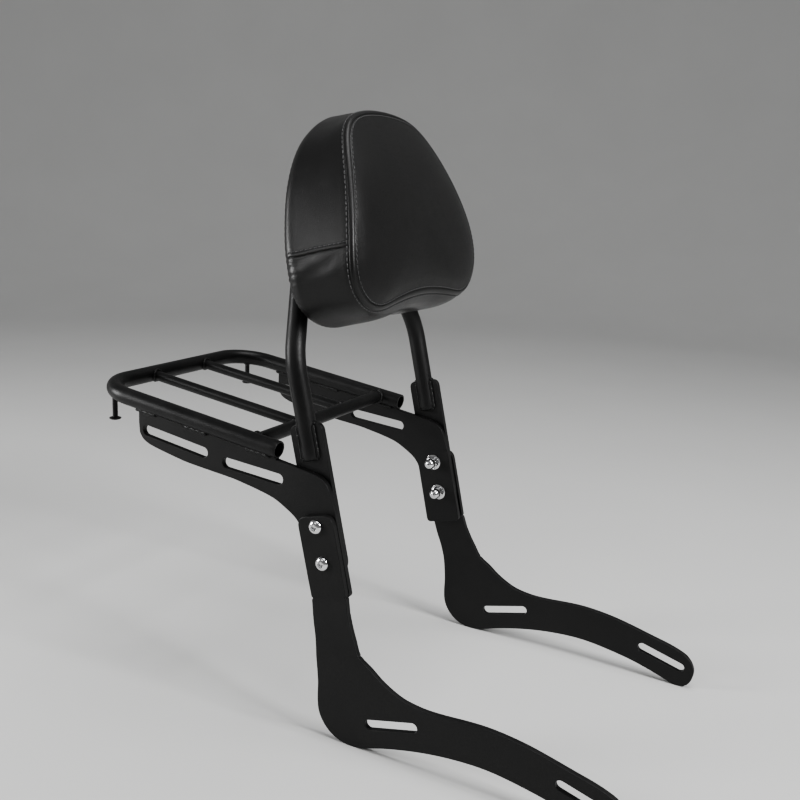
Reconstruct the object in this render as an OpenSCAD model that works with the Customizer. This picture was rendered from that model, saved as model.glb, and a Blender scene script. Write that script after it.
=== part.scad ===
/* [Side legs] */
// Thickness of every flat side plate
plate_t = 6; // [4:0.5:8]
// Distance between the outer faces of the two leg heads
leg_span = 274; // [240:1:300]
// How far each leg steps outward below the bolts
joggle = 10; // [4:0.5:16]
// Length of the slot at the heel of each leg
heel_slot_l = 56; // [40:1:60]
// Length of the slot at the toe of each leg
toe_slot_l = 54; // [40:1:58]
// Width of the leg slots
leg_slot_w = 10; // [8:0.5:12]

/* [Backrest bar] */
// Backward lean of the backrest bar, in degrees
lean = 14; // [8:0.5:20]
// Diameter of the bent backrest bar
bar_d = 19; // [16:0.5:22]
// Inward slope of the upper part of the bar, in degrees
taper = 25; // [15:1:28]
// Height of the bar's top run above the lower bolt, along the lean
bar_top = 385; // [370:1:390]
// Width of the flat plates at the bar's ends
bar_plate_w = 36; // [30:1:38]

/* [Rack] */
// Outside diameter of the bent rack tube
rack_d = 17.5; // [14:0.5:19]
// Inside diameter of the bent rack tube
rack_bore = 13.5; // [10:0.5:15]
// Distance between the two side runs of the rack tube
rack_w = 250; // [230:1:254]
// Length of the rack tube from open end to rear run
rack_l = 233; // [200:1:260]
// Rise of the rack towards the rear, in degrees
rack_rise = 7; // [0:0.5:10]
// Diameter of the two inner bars
slat_d = 11; // [8:0.5:14]
// Diameter of the crossbar
cross_d = 14; // [10:0.5:16]

/* [Fasteners] */
// Thread diameter of the side screws
bolt_d = 8; // [6:0.5:8]
// Distance between the two screws of one side
bolt_pitch = 36; // [32:0.5:38]
// Diameter of the screw heads
head_d = 14; // [12:0.5:15]
// Outside diameter of the washers
washer_d = 18; // [16:0.5:20]

/* [Pad] */
// Depth of the pad at its seam edge, from its back face
pad_depth = 73; // [60:1:76]
// Thickness of the pad's backing board
board_t = 5; // [3:0.5:8]

/* [Hidden] */
$fn = 48;

black = [0.07, 0.07, 0.07];
steel = [0.8, 0.8, 0.82];

// side view origin: centre of the heel slots, measured from the heel
org_y = 31.5;
org_z = 34.5;
// lower screw in side view
by = -54;
bz = 172;

xo = leg_span / 2;          // outer face of the leg heads
xi = xo - 3 * plate_t;      // inner face of the whole stack
shift = plate_t / 2;        // backrest sits this far left, rack this far right
xc = xo - 2 * plate_t;      // centre plane of plates before the shift
bar_x = xc;                 // half spacing of the backrest bar
kink = 195;                 // height of the bar's inward bend
pn = 9.5;                   // back face of the pad ahead of the bar's centre
strap_n = 11;               // front face of the pad straps
rx = rack_w / 2;

// point of the leaning bar in side view: s up the lean, n forward of it
function L(s, n) = [by - s * sin(lean) + n * cos(lean),
                    bz + s * cos(lean) + n * sin(lean)];
// smooth run through a list of points
function cr1(a, b, c, d, t) = 0.5 * (2 * b + (c - a) * t
    + (2 * a - 5 * b + 4 * c - d) * t * t
    + (3 * b - a - 3 * c + d) * t * t * t);
function smooth(p, m = 3) = let (n = len(p))
    [for (i = [0 : n - 2]) for (k = [0 : m - 1])
        cr1(p[max(i - 1, 0)], p[i], p[i + 1], p[min(i + 2, n - 1)], k / m),
     p[n - 1]];
// quarter-like corner from point a round corner c to point b
function corner(a, c, b, m = 6) = [for (k = [0 : m]) let (t = k / m)
    a * (1 - t) * (1 - t) + c * 2 * t * (1 - t) + b * t * t];

module frame() translate([0, -org_y, -org_z]) children();
// extrudes a side view outline along X, between two X values
module side(x0, x1) translate([x0, 0, 0]) rotate([90, 0, 90])
    linear_extrude(x1 - x0) children();
// frame of the leaning bar: X across, Y up the lean, Z forward
module on_bar(off = 0) translate([off, by, bz]) rotate([90 + lean, 0, 0])
    mirror([0, 0, 1]) children();
// frame of the rack: X across, Y forward, Z up, origin at the open ends
module on_rack() translate([shift, -112, 271]) rotate([-rack_rise, 0, 0])
    children();
module slot2(c, a, l, w) translate(c) rotate(a) union() {
    square([l - w, w], center = true);
    for (e = [-1, 1]) translate([e * (l - w) / 2, 0]) circle(d = w);
}

// ---- bent round bar in the XY plane ----
function unit(v) = v / norm(v);
function turn(a, b, c) = let (u = unit(b - a), v = unit(c - b))
    atan2(u[0] * v[1] - u[1] * v[0], u * v);
function cut(a, b, c, r) = r * tan(abs(turn(a, b, c)) / 2);
module rod(p, q, d) let (u = unit(q - p))
    translate([p[0], p[1], 0]) rotate([0, 0, atan2(u[1], u[0])])
        rotate([0, 90, 0]) cylinder(d = d, h = norm(q - p));
module bent(p, r, d) {
    n = len(p);
    for (i = [0 : n - 2]) {
        u = unit(p[i + 1] - p[i]);
        a = i == 0 ? 0 : cut(p[i - 1], p[i], p[i + 1], r[i]);
        b = i == n - 2 ? 0 : cut(p[i], p[i + 1], p[i + 2], r[i + 1]);
        rod(p[i] + u * a, p[i + 1] - u * b, d);
    }
    for (i = [1 : n - 2]) {
        u = unit(p[i] - p[i - 1]);
        g = turn(p[i - 1], p[i], p[i + 1]);
        sg = sign(g);
        k = cut(p[i - 1], p[i], p[i + 1], r[i]);
        s = p[i] - u * k;
        nn = [-u[1], u[0]] * sg;
        c = s + nn * r[i];
        a0 = atan2(s[1] - c[1], s[0] - c[0]);
        translate([c[0], c[1], 0]) rotate([0, 0, sg > 0 ? a0 : a0 + g])
            rotate_extrude(angle = abs(g)) translate([r[i], 0]) circle(d = d);
    }
}

// ---- legs ----
leg_rear = [[-64.7, 134.5], [-60, 115], [-56, 102], [-53, 89], [-51, 77],
    [-49.5, 65], [-48.5, 53], [-48.5, 40], [-47, 27], [-42.5, 17],
    [-35, 8.5], [-25, 2.5], [-14, 0], [-3, 0.5], [7, 3], [25, 9], [48, 15],
    [70, 19.5], [92, 22.5], [115, 24], [135, 23.5], [158, 20.5], [180, 16.5],
    [196, 12.5], [214, 7], [228, 2], [237, 0], [245, 1.5], [251, 8],
    [253.5, 18], [252, 26], [247, 33.5], [240, 38.5], [225, 44], [205, 49],
    [185, 54], [165, 58.5], [145, 61.5], [125, 63], [105, 62.5], [85, 61],
    [68, 60.5], [55, 61.5], [42, 64], [30, 69], [18, 76], [7, 84.5],
    [-5.5, 93], [-12, 105], [-18, 117], [-23, 129]];
// outline with its points in one direction round the plate
module leg_shape() polygon(concat(
    corner(L(46, -10), L(46, -20), L(36, -20)),
    [L(-20, -19.8)],
    smooth(leg_rear, 3),
    [L(-36, 19.4), L(0, 19.5)],
    corner(L(35, 19.5), L(46, 19.5), L(46, 9))));
fold_hi = -34;
fold_lo = -89;
// the stepped section of the leg, seen from the front
module leg_step() on_bar() translate([0, 0, -200]) linear_extrude(600)
    polygon([[xo - plate_t, 80], [xo, 80], [xo, fold_hi],
        [xo + joggle, fold_lo], [xo + joggle, -300],
        [xo + joggle - plate_t, -300], [xo + joggle - plate_t, fold_lo],
        [xo - plate_t, fold_hi]]);
module leg() color(black) frame() difference() {
    intersection() {
        side(xo - plate_t - 2, xo + joggle + 2) difference() {
            leg_shape();
            slot2([org_y, org_z], 14.5, heel_slot_l, leg_slot_w);
            slot2([217, 28], -15.5, toe_slot_l, leg_slot_w);
            for (s = [0, bolt_pitch]) translate(L(s, 0)) circle(d = bolt_d + 0.5);
            translate(L(fold_hi, -19.6)) circle(r = 1.2, $fn = 24);
            translate(L(fold_hi, 19.6)) circle(r = 1.2, $fn = 24);
            translate([-53.8, 81]) circle(r = 1.2, $fn = 24);
            translate([-5, 93.5]) circle(r = 1.2, $fn = 24);
        }
        leg_step();
    }
}
module leg_right() leg();
module leg_left() mirror([1, 0, 0]) leg();

// ---- backrest bar ----
tip = [bar_x - (bar_top - kink) * tan(taper), bar_top];
bar_path = [[bar_x, 98], [bar_x, kink], tip, [-tip[0], tip[1]],
    [-bar_x, kink], [-bar_x, 98]];
bend_r = [0, 70, 45, 45, 70, 0];
// rings along the bar: centre and heading
function ring_list(p, r) = concat([[p[0], 90]],
    [for (i = [1 : len(p) - 2]) let (u = unit(p[i] - p[i - 1]),
        g = turn(p[i - 1], p[i], p[i + 1]),
        k = cut(p[i - 1], p[i], p[i + 1], r[i]),
        s = p[i] - u * k, c = s + [-u[1], u[0]] * r[i],
        h = atan2(u[1], u[0]), m = ceil(g / 6))
        for (j = [0 : m]) let (q = h + g * j / m)
            [c + r[i] * [sin(q), -cos(q)], q]],
    [[p[len(p) - 1], 270]]);
// round bar swept along its rings
module swept(rings, d, sides = 28) {
    n = len(rings);
    pts = [for (k = rings) for (j = [0 : sides - 1]) let (a = 360 * j / sides)
        [k[0][0] + d / 2 * cos(a) * -sin(k[1]), k[0][1] + d / 2 * cos(a) * cos(k[1]),
         d / 2 * sin(a)]];
    polyhedron(pts, concat(
        [[for (j = [0 : sides - 1]) j]],
        [for (i = [0 : n - 2]) for (j = [0 : sides - 1]) let (b = (j + 1) % sides)
            [i * sides + j, (i + 1) * sides + j, (i + 1) * sides + b, i * sides + b]],
        [[for (j = [sides - 1 : -1 : 0]) (n - 1) * sides + j]]));
}
module slopes(d) for (e = [-1, 1])
    rod([e * bar_x, kink], [e * tip[0], tip[1]], d);
module backrest_bar() color(black) frame() on_bar(-shift) difference() {
    swept(ring_list(bar_path, bend_r), bar_d);
    for (e = [-1, 1]) translate([e * bar_x - plate_t / 2, 90, -15])
        cube([plate_t, 42, 30]);
}
module bar_plate(e) color(black) frame() difference() {
    side(e * xc - shift - plate_t / 2, e * xc - shift + plate_t / 2)
        difference() {
            polygon(concat(
                corner(L(124, -bar_plate_w / 2), L(132, -bar_plate_w / 2), L(132, 8 - bar_plate_w / 2)),
                corner(L(132, bar_plate_w / 2 - 8), L(132, bar_plate_w / 2), L(124, bar_plate_w / 2)),
                [for (a = [0 : -7.5 : -180]) L(bar_plate_w / 2 * sin(a), bar_plate_w / 2 * cos(a))]));
            for (s = [0, bolt_pitch]) translate(L(s, 0)) circle(d = bolt_d + 0.5);
        }
}
module backrest_plate_right() bar_plate(1);
module backrest_plate_left() bar_plate(-1);

// ---- pad straps ----
strap_w = 25;
strap_t = 4;
strap_s = [250, 335];
screw_x = [70, 38];
module strap(i) color(black) frame() on_bar(-shift) difference() {
    hx = bar_x - (strap_s[i] - kink) * tan(taper);
    translate([0, strap_s[i], strap_n - strap_t / 2])
        cube([2 * hx, strap_w, strap_t], center = true);
    slopes(bar_d);
    // trimmed along the outside of the sloping bar
    for (e = [-1, 1]) translate([e * (hx + 0), strap_s[i], 0])
        rotate([0, 0, e * taper]) translate([e * 30, 0, 0])
            cube([60, 90, 40], center = true);
    for (e = [-1, 1]) translate([e * screw_x[i], strap_s[i], 0])
        cylinder(d = 6.5, h = 20);
}
module pad_strap_lower() strap(0);
module pad_strap_upper() strap(1);

// ---- pad ----
half_mid = [[0, 422], [25, 419.5], [47, 412], [64, 403], [78, 394], [89, 384],
    [99, 372], [108, 356], [116, 337], [124, 316], [131, 295], [135, 278],
    [136.5, 262], [134, 247], [126, 233], [112, 222], [94, 215], [75, 212.5],
    [50, 213], [25, 215.5], [0, 217]];
half_front = [[0, 415.5], [25, 414.5], [45, 412], [60, 408], [73, 401], [84, 390.5],
    [94, 375.5], [103.5, 357], [112.5, 338], [121.5, 317], [129.5, 295], [133.3, 278],
    [134.5, 262], [130.5, 249], [121.5, 237.5], [109, 229.5], [94, 226], [80, 227],
    [60, 230.5], [30, 234], [0, 235.5]];
// whole outline from its right half, drawn in by a margin g
function full(h, g) = let (k = 1 - g / 130, cy = 312,
        q = [for (p = h) [p[0] * k, cy + (p[1] - cy) * k]])
    concat(q, [for (i = [len(q) - 2 : -1 : 1]) [-q[i][0], q[i][1]]]);
module slab(h, g, n0, n1) translate([0, 0, n0])
    linear_extrude(n1 - n0) polygon(full(h, g));
module pad_form(g, n0) hull() {
    slab(half_mid, 7 + g, n0, n0 + 1);
    slab(half_mid, g, 26, 60);
    slab(half_front, g, pn + pad_depth - 3, pn + pad_depth - g);
    slab(half_front, 28 + g, pn + pad_depth + 2, pn + pad_depth + 8 - g);
}
module board_form(g) slab(half_mid, 12.5 + g, strap_n, strap_n + board_t);
module pad_board() color([0.16, 0.14, 0.12]) frame() on_bar(-shift) difference() {
    board_form(0);
    for (i = [0, 1]) for (e = [-1, 1]) translate([e * screw_x[i], strap_s[i], 0])
        cylinder(d = 8, h = 40);
}
module pad_foam() color([0.75, 0.72, 0.6]) frame() on_bar(-shift) difference() {
    pad_form(2, strap_n + board_t);
    for (i = [0, 1]) for (e = [-1, 1]) translate([e * screw_x[i], strap_s[i], 0])
        cylinder(d = 19, h = strap_n + board_t + 1.2);
    for (i = [0, 1]) for (e = [-1, 1]) translate([e * screw_x[i], strap_s[i], 0])
        cylinder(d = 7, h = strap_n + board_t + 5);
}
module pad_cover() color([0.04, 0.04, 0.04]) frame() on_bar(-shift) difference() {
    pad_form(0, pn);
    pad_form(2, strap_n + board_t);
    board_form(0);
    translate([0, 0, pn - 1]) linear_extrude(3) polygon(full(half_mid, 14));
}
module pad_screws() color(steel) frame() on_bar(-shift)
    for (i = [0, 1]) for (e = [-1, 1]) translate([e * screw_x[i], strap_s[i], 0]) {
        difference() {
            union() {
                translate([0, 0, strap_n - strap_t]) cylinder(d = 6, h = 13);
                translate([0, 0, strap_n - strap_t - 2.2]) cylinder(d = 11, h = 2.2);
                translate([0, 0, strap_n - strap_t - 3.4]) cylinder(d1 = 8, d2 = 11, h = 1.2);
            }
            translate([0, 0, strap_n - strap_t - 4]) cylinder(d = 4.6, h = 2.6, $fn = 6);
        }
    }
module pad_t_nuts() color([0.7, 0.7, 0.68]) frame() on_bar(-shift)
    for (i = [0, 1]) for (e = [-1, 1]) translate([e * screw_x[i], strap_s[i], 0])
        difference() {
            union() {
                translate([0, 0, strap_n]) cylinder(d = 8, h = board_t);
                translate([0, 0, strap_n + board_t]) cylinder(d = 19, h = 1.2);
            }
            translate([0, 0, strap_n - 1]) cylinder(d = 6, h = board_t + 4);
        }

// ---- rack ----
rack_path = [[rx, 0], [rx, -rack_l], [-rx, -rack_l], [-rx, 0]];
rack_r = [0, 42, 42, 0];
module rack_solid(d) bent(rack_path, rack_r, d);
module rack_tube() color(black) frame() on_rack() difference() {
    rack_solid(rack_d);
    bent([[rx, 1], rack_path[1], rack_path[2], [-rx, 1]], rack_r, rack_bore);
}
cross_y = -29;
slat_x = 43;
module slat(e) color(black) frame() on_rack() difference() {
    rod([e * slat_x, -rack_l], [e * slat_x, cross_y], slat_d);
    rack_solid(rack_d);
    rod([-rx, cross_y], [rx, cross_y], cross_d);
}
module rack_bar_right() slat(1);
module rack_bar_left() slat(-1);
module rack_crossbar() color(black) frame() on_rack() difference() {
    rod([-rx, cross_y], [rx, cross_y], cross_d);
    rack_solid(rack_d);
}
rack_low = [[-82, 197.2], [-84.5, 202], [-91, 209], [-102, 216], [-115, 222.5],
    [-132, 227], [-150, 230.5], [-165, 233], [-190, 235.5], [-205, 237],
    [-226, 239.5], [-256, 245.5], [-270, 249], [-279, 253.5], [-283.5, 260]];
rack_top = [[-96, 259], [-81, 257], [-68, 254.5], [-61, 251.5], [-56, 247],
    [-52.5, 240], [-49.5, 231]];
module rack_plate(e) color(black) frame() difference() {
    side(e * xc + shift - plate_t / 2, e * xc + shift + plate_t / 2)
        difference() {
            polygon(concat(
                [[-284.5, 270], [-284.5, 292.1], [-113.5, 271], [-113.5, 261.5]],
                smooth(rack_top, 3),
                [L(46, 20)],
                corner(L(-31, 20), L(-36, 20), L(-36, 15)),
                corner(L(-36, -16.5), L(-36, -21.5), L(-31, -21.5)),
                smooth(rack_low, 3)));
            slot2([-141, 245.2], -4.3, 72, 11);
            slot2([-237, 258.2], -8, 84, 11);
            for (s = [0, bolt_pitch]) translate(L(s, 0)) circle(d = bolt_d + 0.5);
        }
    on_rack() rack_solid(rack_d);
}
module rack_plate_right() rack_plate(1);
module rack_plate_left() rack_plate(-1);
module tie_post(e) color(black) frame() on_rack() difference() {
    translate([e * 116, -rack_l + 15, 0]) rotate([180 + rack_rise, 0, 0]) {
        cylinder(d = 5.5, h = 32);
        translate([0, 0, 30.5]) cylinder(d1 = 9, d2 = 12.5, h = 1.5);
        translate([0, 0, 32]) cylinder(d1 = 12.5, d2 = 10, h = 1.6);
    }
    rack_solid(rack_d);
}
module tie_post_right() tie_post(1);
module tie_post_left() tie_post(-1);

// ---- fasteners ----
head_h = 4.4;
module head() rotate_extrude() polygon(concat([[0, 0], [head_d / 2, 0]],
    [for (a = [0 : 10 : 60]) [head_d / 2 * cos(a) , 0.8 + (head_h - 0.8) * sin(a) / sin(60)]],
    [[0, head_h]]));
module at_screws() for (s = [0, bolt_pitch]) for (e = [-1, 1])
    let (p = L(s, 0)) translate([e * xo, p[0], p[1]])
        rotate([0, e * 90, 0]) children();
washer_t = 1.6;
module side_screws() color(steel) frame() at_screws() difference() {
    union() {
        head();
        translate([0, 0, -3 * plate_t - washer_t - 9]) cylinder(d = bolt_d, h = 3 * plate_t + washer_t + 9);
    }
    translate([0, 0, 1.8]) cylinder(d = 5.8, h = 5, $fn = 6);
}
module nut_washers() color(steel) frame() at_screws()
    translate([0, 0, -3 * plate_t - washer_t]) difference() {
        cylinder(d = washer_d, h = washer_t);
        translate([0, 0, -1]) cylinder(d = bolt_d + 0.4, h = 5);
    }
module cap_nuts() color(steel) frame() at_screws()
    translate([0, 0, -3 * plate_t - washer_t]) mirror([0, 0, 1]) difference() {
        union() {
            cylinder(d = 15, h = 6.5, $fn = 6);
            cylinder(d = 12, h = 9);
            translate([0, 0, 9]) sphere(d = 12);
        }
        translate([0, 0, -1]) cylinder(d = bolt_d, h = 10);
    }

leg_right();
leg_left();
backrest_bar();
backrest_plate_right();
backrest_plate_left();
pad_strap_upper();
pad_strap_lower();
pad_board();
pad_foam();
pad_cover();
pad_screws();
pad_t_nuts();
rack_tube();
rack_bar_right();
rack_bar_left();
rack_crossbar();
rack_plate_right();
rack_plate_left();
tie_post_right();
tie_post_left();
side_screws();
nut_washers();
cap_nuts();
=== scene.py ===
import math
import random

import bmesh
import bpy
import numpy as np
from mathutils import Matrix, Vector
from mathutils.bvhtree import BVHTree
from mathutils.geometry import delaunay_2d_cdt


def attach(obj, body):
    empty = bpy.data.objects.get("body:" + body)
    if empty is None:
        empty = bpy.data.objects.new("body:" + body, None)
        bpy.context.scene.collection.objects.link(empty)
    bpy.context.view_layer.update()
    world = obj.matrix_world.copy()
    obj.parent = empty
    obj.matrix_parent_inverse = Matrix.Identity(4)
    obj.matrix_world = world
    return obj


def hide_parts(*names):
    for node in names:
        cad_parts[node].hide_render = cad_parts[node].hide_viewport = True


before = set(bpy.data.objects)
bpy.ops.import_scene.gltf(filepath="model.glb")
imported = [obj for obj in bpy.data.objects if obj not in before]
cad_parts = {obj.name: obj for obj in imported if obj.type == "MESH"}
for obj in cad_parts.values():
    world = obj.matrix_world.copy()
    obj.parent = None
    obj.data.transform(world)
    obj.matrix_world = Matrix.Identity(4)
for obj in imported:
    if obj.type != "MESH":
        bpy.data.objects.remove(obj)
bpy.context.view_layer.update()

MM = 0.001
LEAN = math.radians(14.0)
SL, CL = math.sin(LEAN), math.cos(LEAN)
RISE = math.radians(7.0)
SR, CR = math.sin(RISE), math.cos(RISE)


# ---------------------------------------------------------------- frames
def bar_pt(x, s, n):
    """Point of the leaning backrest: x across, s up the lean, n forward, in mm."""
    return Vector((x - 3.0, -85.5 - s * SL + n * CL, 137.5 + s * CL + n * SL)) * MM


def rack_pt(x, v, w):
    """Point of the rising rack: x across, v forward, w up, in mm."""
    return Vector((x + 3.0, -143.5 + v * CR + w * SR, 236.5 - v * SR + w * CR)) * MM


BAR_X, BAR_S, BAR_N = Vector((1, 0, 0)), Vector((0, -SL, CL)), Vector((0, CL, SL))
RACK_X, RACK_V, RACK_W = Vector((1, 0, 0)), Vector((0, CR, -SR)), Vector((0, SR, CR))


# ---------------------------------------------------------------- materials
def tree(name):
    m = bpy.data.materials.new(name)
    m.use_nodes = True
    nt = m.node_tree
    for n in list(nt.nodes):
        nt.nodes.remove(n)
    out = nt.nodes.new("ShaderNodeOutputMaterial")
    b = nt.nodes.new("ShaderNodeBsdfPrincipled")
    nt.links.new(b.outputs[0], out.inputs[0])
    co = nt.nodes.new("ShaderNodeTexCoord")
    return m, nt, b, co


def add(nt, kind, **kw):
    n = nt.nodes.new(kind)
    for k, v in kw.items():
        if k.startswith("i_"):
            key = k[2:]
            n.inputs[int(key) if key.isdigit() else key.replace("_", " ")].default_value = v
        else:
            setattr(n, k, v)
    return n


def noise(nt, co, scale, detail=3.0, rough=0.55):
    n = add(nt, "ShaderNodeTexNoise", i_Scale=scale, i_Detail=detail, i_Roughness=rough)
    nt.links.new(co.outputs["Object"], n.inputs["Vector"])
    return n


def ramp(nt, src, lo, hi, a, b):
    r = add(nt, "ShaderNodeMapRange")
    r.inputs["From Min"].default_value = lo
    r.inputs["From Max"].default_value = hi
    r.inputs["To Min"].default_value = a
    r.inputs["To Max"].default_value = b
    nt.links.new(src, r.inputs["Value"])
    return r


def bump(nt, height, strength, dist, normal=None):
    b = add(nt, "ShaderNodeBump")
    b.inputs["Strength"].default_value = strength
    b.inputs["Distance"].default_value = dist
    nt.links.new(height, b.inputs["Height"])
    if normal is not None:
        nt.links.new(normal, b.inputs["Normal"])
    return b


def powder_coat(name, base=0.007, grain=1.0, r0=0.40, r1=0.56):
    """Satin black powder coat: fine pebbled texture, slow waviness, dust-like variation."""
    m, nt, b, co = tree(name)
    cloud = noise(nt, co, 22.0, 4.0)
    fine = noise(nt, co, 1500.0, 2.0, 0.6)
    peel = noise(nt, co, 420.0, 2.0, 0.5)
    spot = add(nt, "ShaderNodeTexVoronoi", i_Scale=900.0)
    nt.links.new(co.outputs["Object"], spot.inputs["Vector"])
    col = add(nt, "ShaderNodeMixRGB", blend_type="MIX")
    col.inputs[1].default_value = (base * 0.8, base * 0.8, base * 0.82, 1)
    col.inputs[2].default_value = (base * 1.35, base * 1.33, base * 1.33, 1)
    f = ramp(nt, cloud.outputs["Fac"], 0.35, 0.7, 0.0, 1.0)
    nt.links.new(f.outputs[0], col.inputs[0])
    nt.links.new(col.outputs[0], b.inputs["Base Color"])
    rr = ramp(nt, cloud.outputs["Fac"], 0.3, 0.7, r0, r1)
    rm = add(nt, "ShaderNodeMath", operation="ADD")
    fr = ramp(nt, peel.outputs["Fac"], 0.3, 0.7, -0.05, 0.05)
    nt.links.new(rr.outputs[0], rm.inputs[0])
    nt.links.new(fr.outputs[0], rm.inputs[1])
    nt.links.new(rm.outputs[0], b.inputs["Roughness"])
    b1 = bump(nt, peel.outputs["Fac"], 0.30 * grain, 0.00025)
    b2 = bump(nt, spot.outputs["Distance"], 0.22 * grain, 0.0002, b1.outputs[0])
    b3 = bump(nt, fine.outputs["Fac"], 0.30 * grain, 0.00012, b2.outputs[0])
    nt.links.new(b3.outputs[0], b.inputs["Normal"])
    b.inputs["Specular IOR Level"].default_value = 0.33
    return m


def bright_metal(name, col, r0, r1, bumpy=0.05, scale=600.0):
    m, nt, b, co = tree(name)
    b.inputs["Metallic"].default_value = 1.0
    n1 = noise(nt, co, scale, 3.0)
    n2 = noise(nt, co, 90.0, 3.0)
    mix = add(nt, "ShaderNodeMixRGB", blend_type="MIX")
    mix.inputs[1].default_value = (*[c * 0.86 for c in col], 1)
    mix.inputs[2].default_value = (*col, 1)
    f = ramp(nt, n2.outputs["Fac"], 0.3, 0.65, 0.0, 1.0)
    nt.links.new(f.outputs[0], mix.inputs[0])
    nt.links.new(mix.outputs[0], b.inputs["Base Color"])
    rr = ramp(nt, n1.outputs["Fac"], 0.3, 0.7, r0, r1)
    nt.links.new(rr.outputs[0], b.inputs["Roughness"])
    b1 = bump(nt, n1.outputs["Fac"], bumpy, 0.0001)
    nt.links.new(b1.outputs[0], b.inputs["Normal"])
    return m


def vinyl_mat(name):
    """Black upholstery vinyl: pebbled leather grain with painted shade in its valleys, fine creases, soft sheen."""
    m, nt, b, co = tree(name)
    warp = noise(nt, co, 160.0, 2.0)
    mixv = add(nt, "ShaderNodeMixRGB", blend_type="ADD")
    mixv.inputs[0].default_value = 0.0022
    nt.links.new(co.outputs["Object"], mixv.inputs[1])
    nt.links.new(warp.outputs["Color"], mixv.inputs[2])
    cell = add(nt, "ShaderNodeTexVoronoi", feature="DISTANCE_TO_EDGE", i_Scale=640.0)
    nt.links.new(mixv.outputs[0], cell.inputs["Vector"])
    cell2 = add(nt, "ShaderNodeTexVoronoi", feature="DISTANCE_TO_EDGE", i_Scale=1250.0)
    nt.links.new(mixv.outputs[0], cell2.inputs["Vector"])
    c1 = ramp(nt, cell.outputs["Distance"], 0.0, 0.22, 0.0, 1.0)
    c2 = ramp(nt, cell2.outputs["Distance"], 0.0, 0.25, 0.0, 1.0)
    slow = noise(nt, co, 14.0, 4.0)
    micro = noise(nt, co, 2600.0, 2.0)
    # base colour darker in the valleys between the pebbles: painted shade in the grain's recesses
    col = add(nt, "ShaderNodeMixRGB", blend_type="MIX")
    col.inputs[1].default_value = (0.0042, 0.0041, 0.0042, 1)
    col.inputs[2].default_value = (0.0085, 0.0083, 0.0082, 1)
    nt.links.new(c1.outputs[0], col.inputs[0])
    nt.links.new(col.outputs[0], b.inputs["Base Color"])
    rr = ramp(nt, slow.outputs["Fac"], 0.3, 0.7, 0.29, 0.38)
    rc = ramp(nt, c1.outputs[0], 0.0, 1.0, 0.10, 0.0)
    rs = add(nt, "ShaderNodeMath", operation="ADD")
    nt.links.new(rr.outputs[0], rs.inputs[0])
    nt.links.new(rc.outputs[0], rs.inputs[1])
    nt.links.new(rs.outputs[0], b.inputs["Roughness"])
    b1 = bump(nt, c1.outputs[0], 0.20, 0.00022)
    b2 = bump(nt, c2.outputs[0], 0.12, 0.00014, b1.outputs[0])
    b3 = bump(nt, micro.outputs["Fac"], 0.12, 0.0001, b2.outputs[0])
    nt.links.new(b3.outputs[0], b.inputs["Normal"])
    b.inputs["Specular IOR Level"].default_value = 0.42
    b.inputs["Sheen Weight"].default_value = 0.01
    b.inputs["Sheen Roughness"].default_value = 0.45
    return m


def thread_mat(name):
    m, nt, b, co = tree(name)
    w = add(nt, "ShaderNodeTexWave", i_Scale=900.0, i_Distortion=0.6)
    nt.links.new(co.outputs["Object"], w.inputs["Vector"])
    # colour lighter on the raised bands and darker in the grooves between them, following the bump: painted
    # highlight and painted shade on the thread
    col = add(nt, "ShaderNodeMixRGB", blend_type="MIX")
    col.inputs[1].default_value = (0.03, 0.03, 0.031, 1)
    col.inputs[2].default_value = (0.085, 0.085, 0.086, 1)
    nt.links.new(w.outputs["Fac"], col.inputs[0])
    nt.links.new(col.outputs[0], b.inputs["Base Color"])
    b.inputs["Roughness"].default_value = 0.34
    b1 = bump(nt, w.outputs["Fac"], 0.5, 0.0001)
    nt.links.new(b1.outputs[0], b.inputs["Normal"])
    return m


def board_mat(name):
    m, nt, b, co = tree(name)
    n1 = noise(nt, co, 320.0, 4.0, 0.65)
    mp = add(nt, "ShaderNodeMapping")
    mp.inputs["Scale"].default_value = (1.0, 9.0, 9.0)
    nt.links.new(co.outputs["Object"], mp.inputs["Vector"])
    n2 = add(nt, "ShaderNodeTexNoise", i_Scale=60.0, i_Detail=5.0)
    nt.links.new(mp.outputs[0], n2.inputs["Vector"])
    col = add(nt, "ShaderNodeMixRGB", blend_type="MIX")
    col.inputs[1].default_value = (0.018, 0.017, 0.016, 1)
    col.inputs[2].default_value = (0.045, 0.042, 0.04, 1)
    nt.links.new(n2.outputs["Fac"], col.inputs[0])
    nt.links.new(col.outputs[0], b.inputs["Base Color"])
    rr = ramp(nt, n1.outputs["Fac"], 0.3, 0.7, 0.62, 0.8)
    nt.links.new(rr.outputs[0], b.inputs["Roughness"])
    b1 = bump(nt, n1.outputs["Fac"], 0.35, 0.0003)
    nt.links.new(b1.outputs[0], b.inputs["Normal"])
    return m


def floor_mat(name):
    m, nt, b, co = tree(name)
    n1 = noise(nt, co, 3.0, 3.0)
    n2 = noise(nt, co, 260.0, 3.0)
    col = add(nt, "ShaderNodeMixRGB", blend_type="MIX")
    col.inputs[1].default_value = (0.56, 0.56, 0.555, 1)
    col.inputs[2].default_value = (0.60, 0.60, 0.595, 1)
    nt.links.new(n1.outputs["Fac"], col.inputs[0])
    nt.links.new(col.outputs[0], b.inputs["Base Color"])
    rr = ramp(nt, n2.outputs["Fac"], 0.3, 0.7, 0.85, 0.95)
    nt.links.new(rr.outputs[0], b.inputs["Roughness"])
    b.inputs["Specular IOR Level"].default_value = 0.2
    return m


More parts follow.
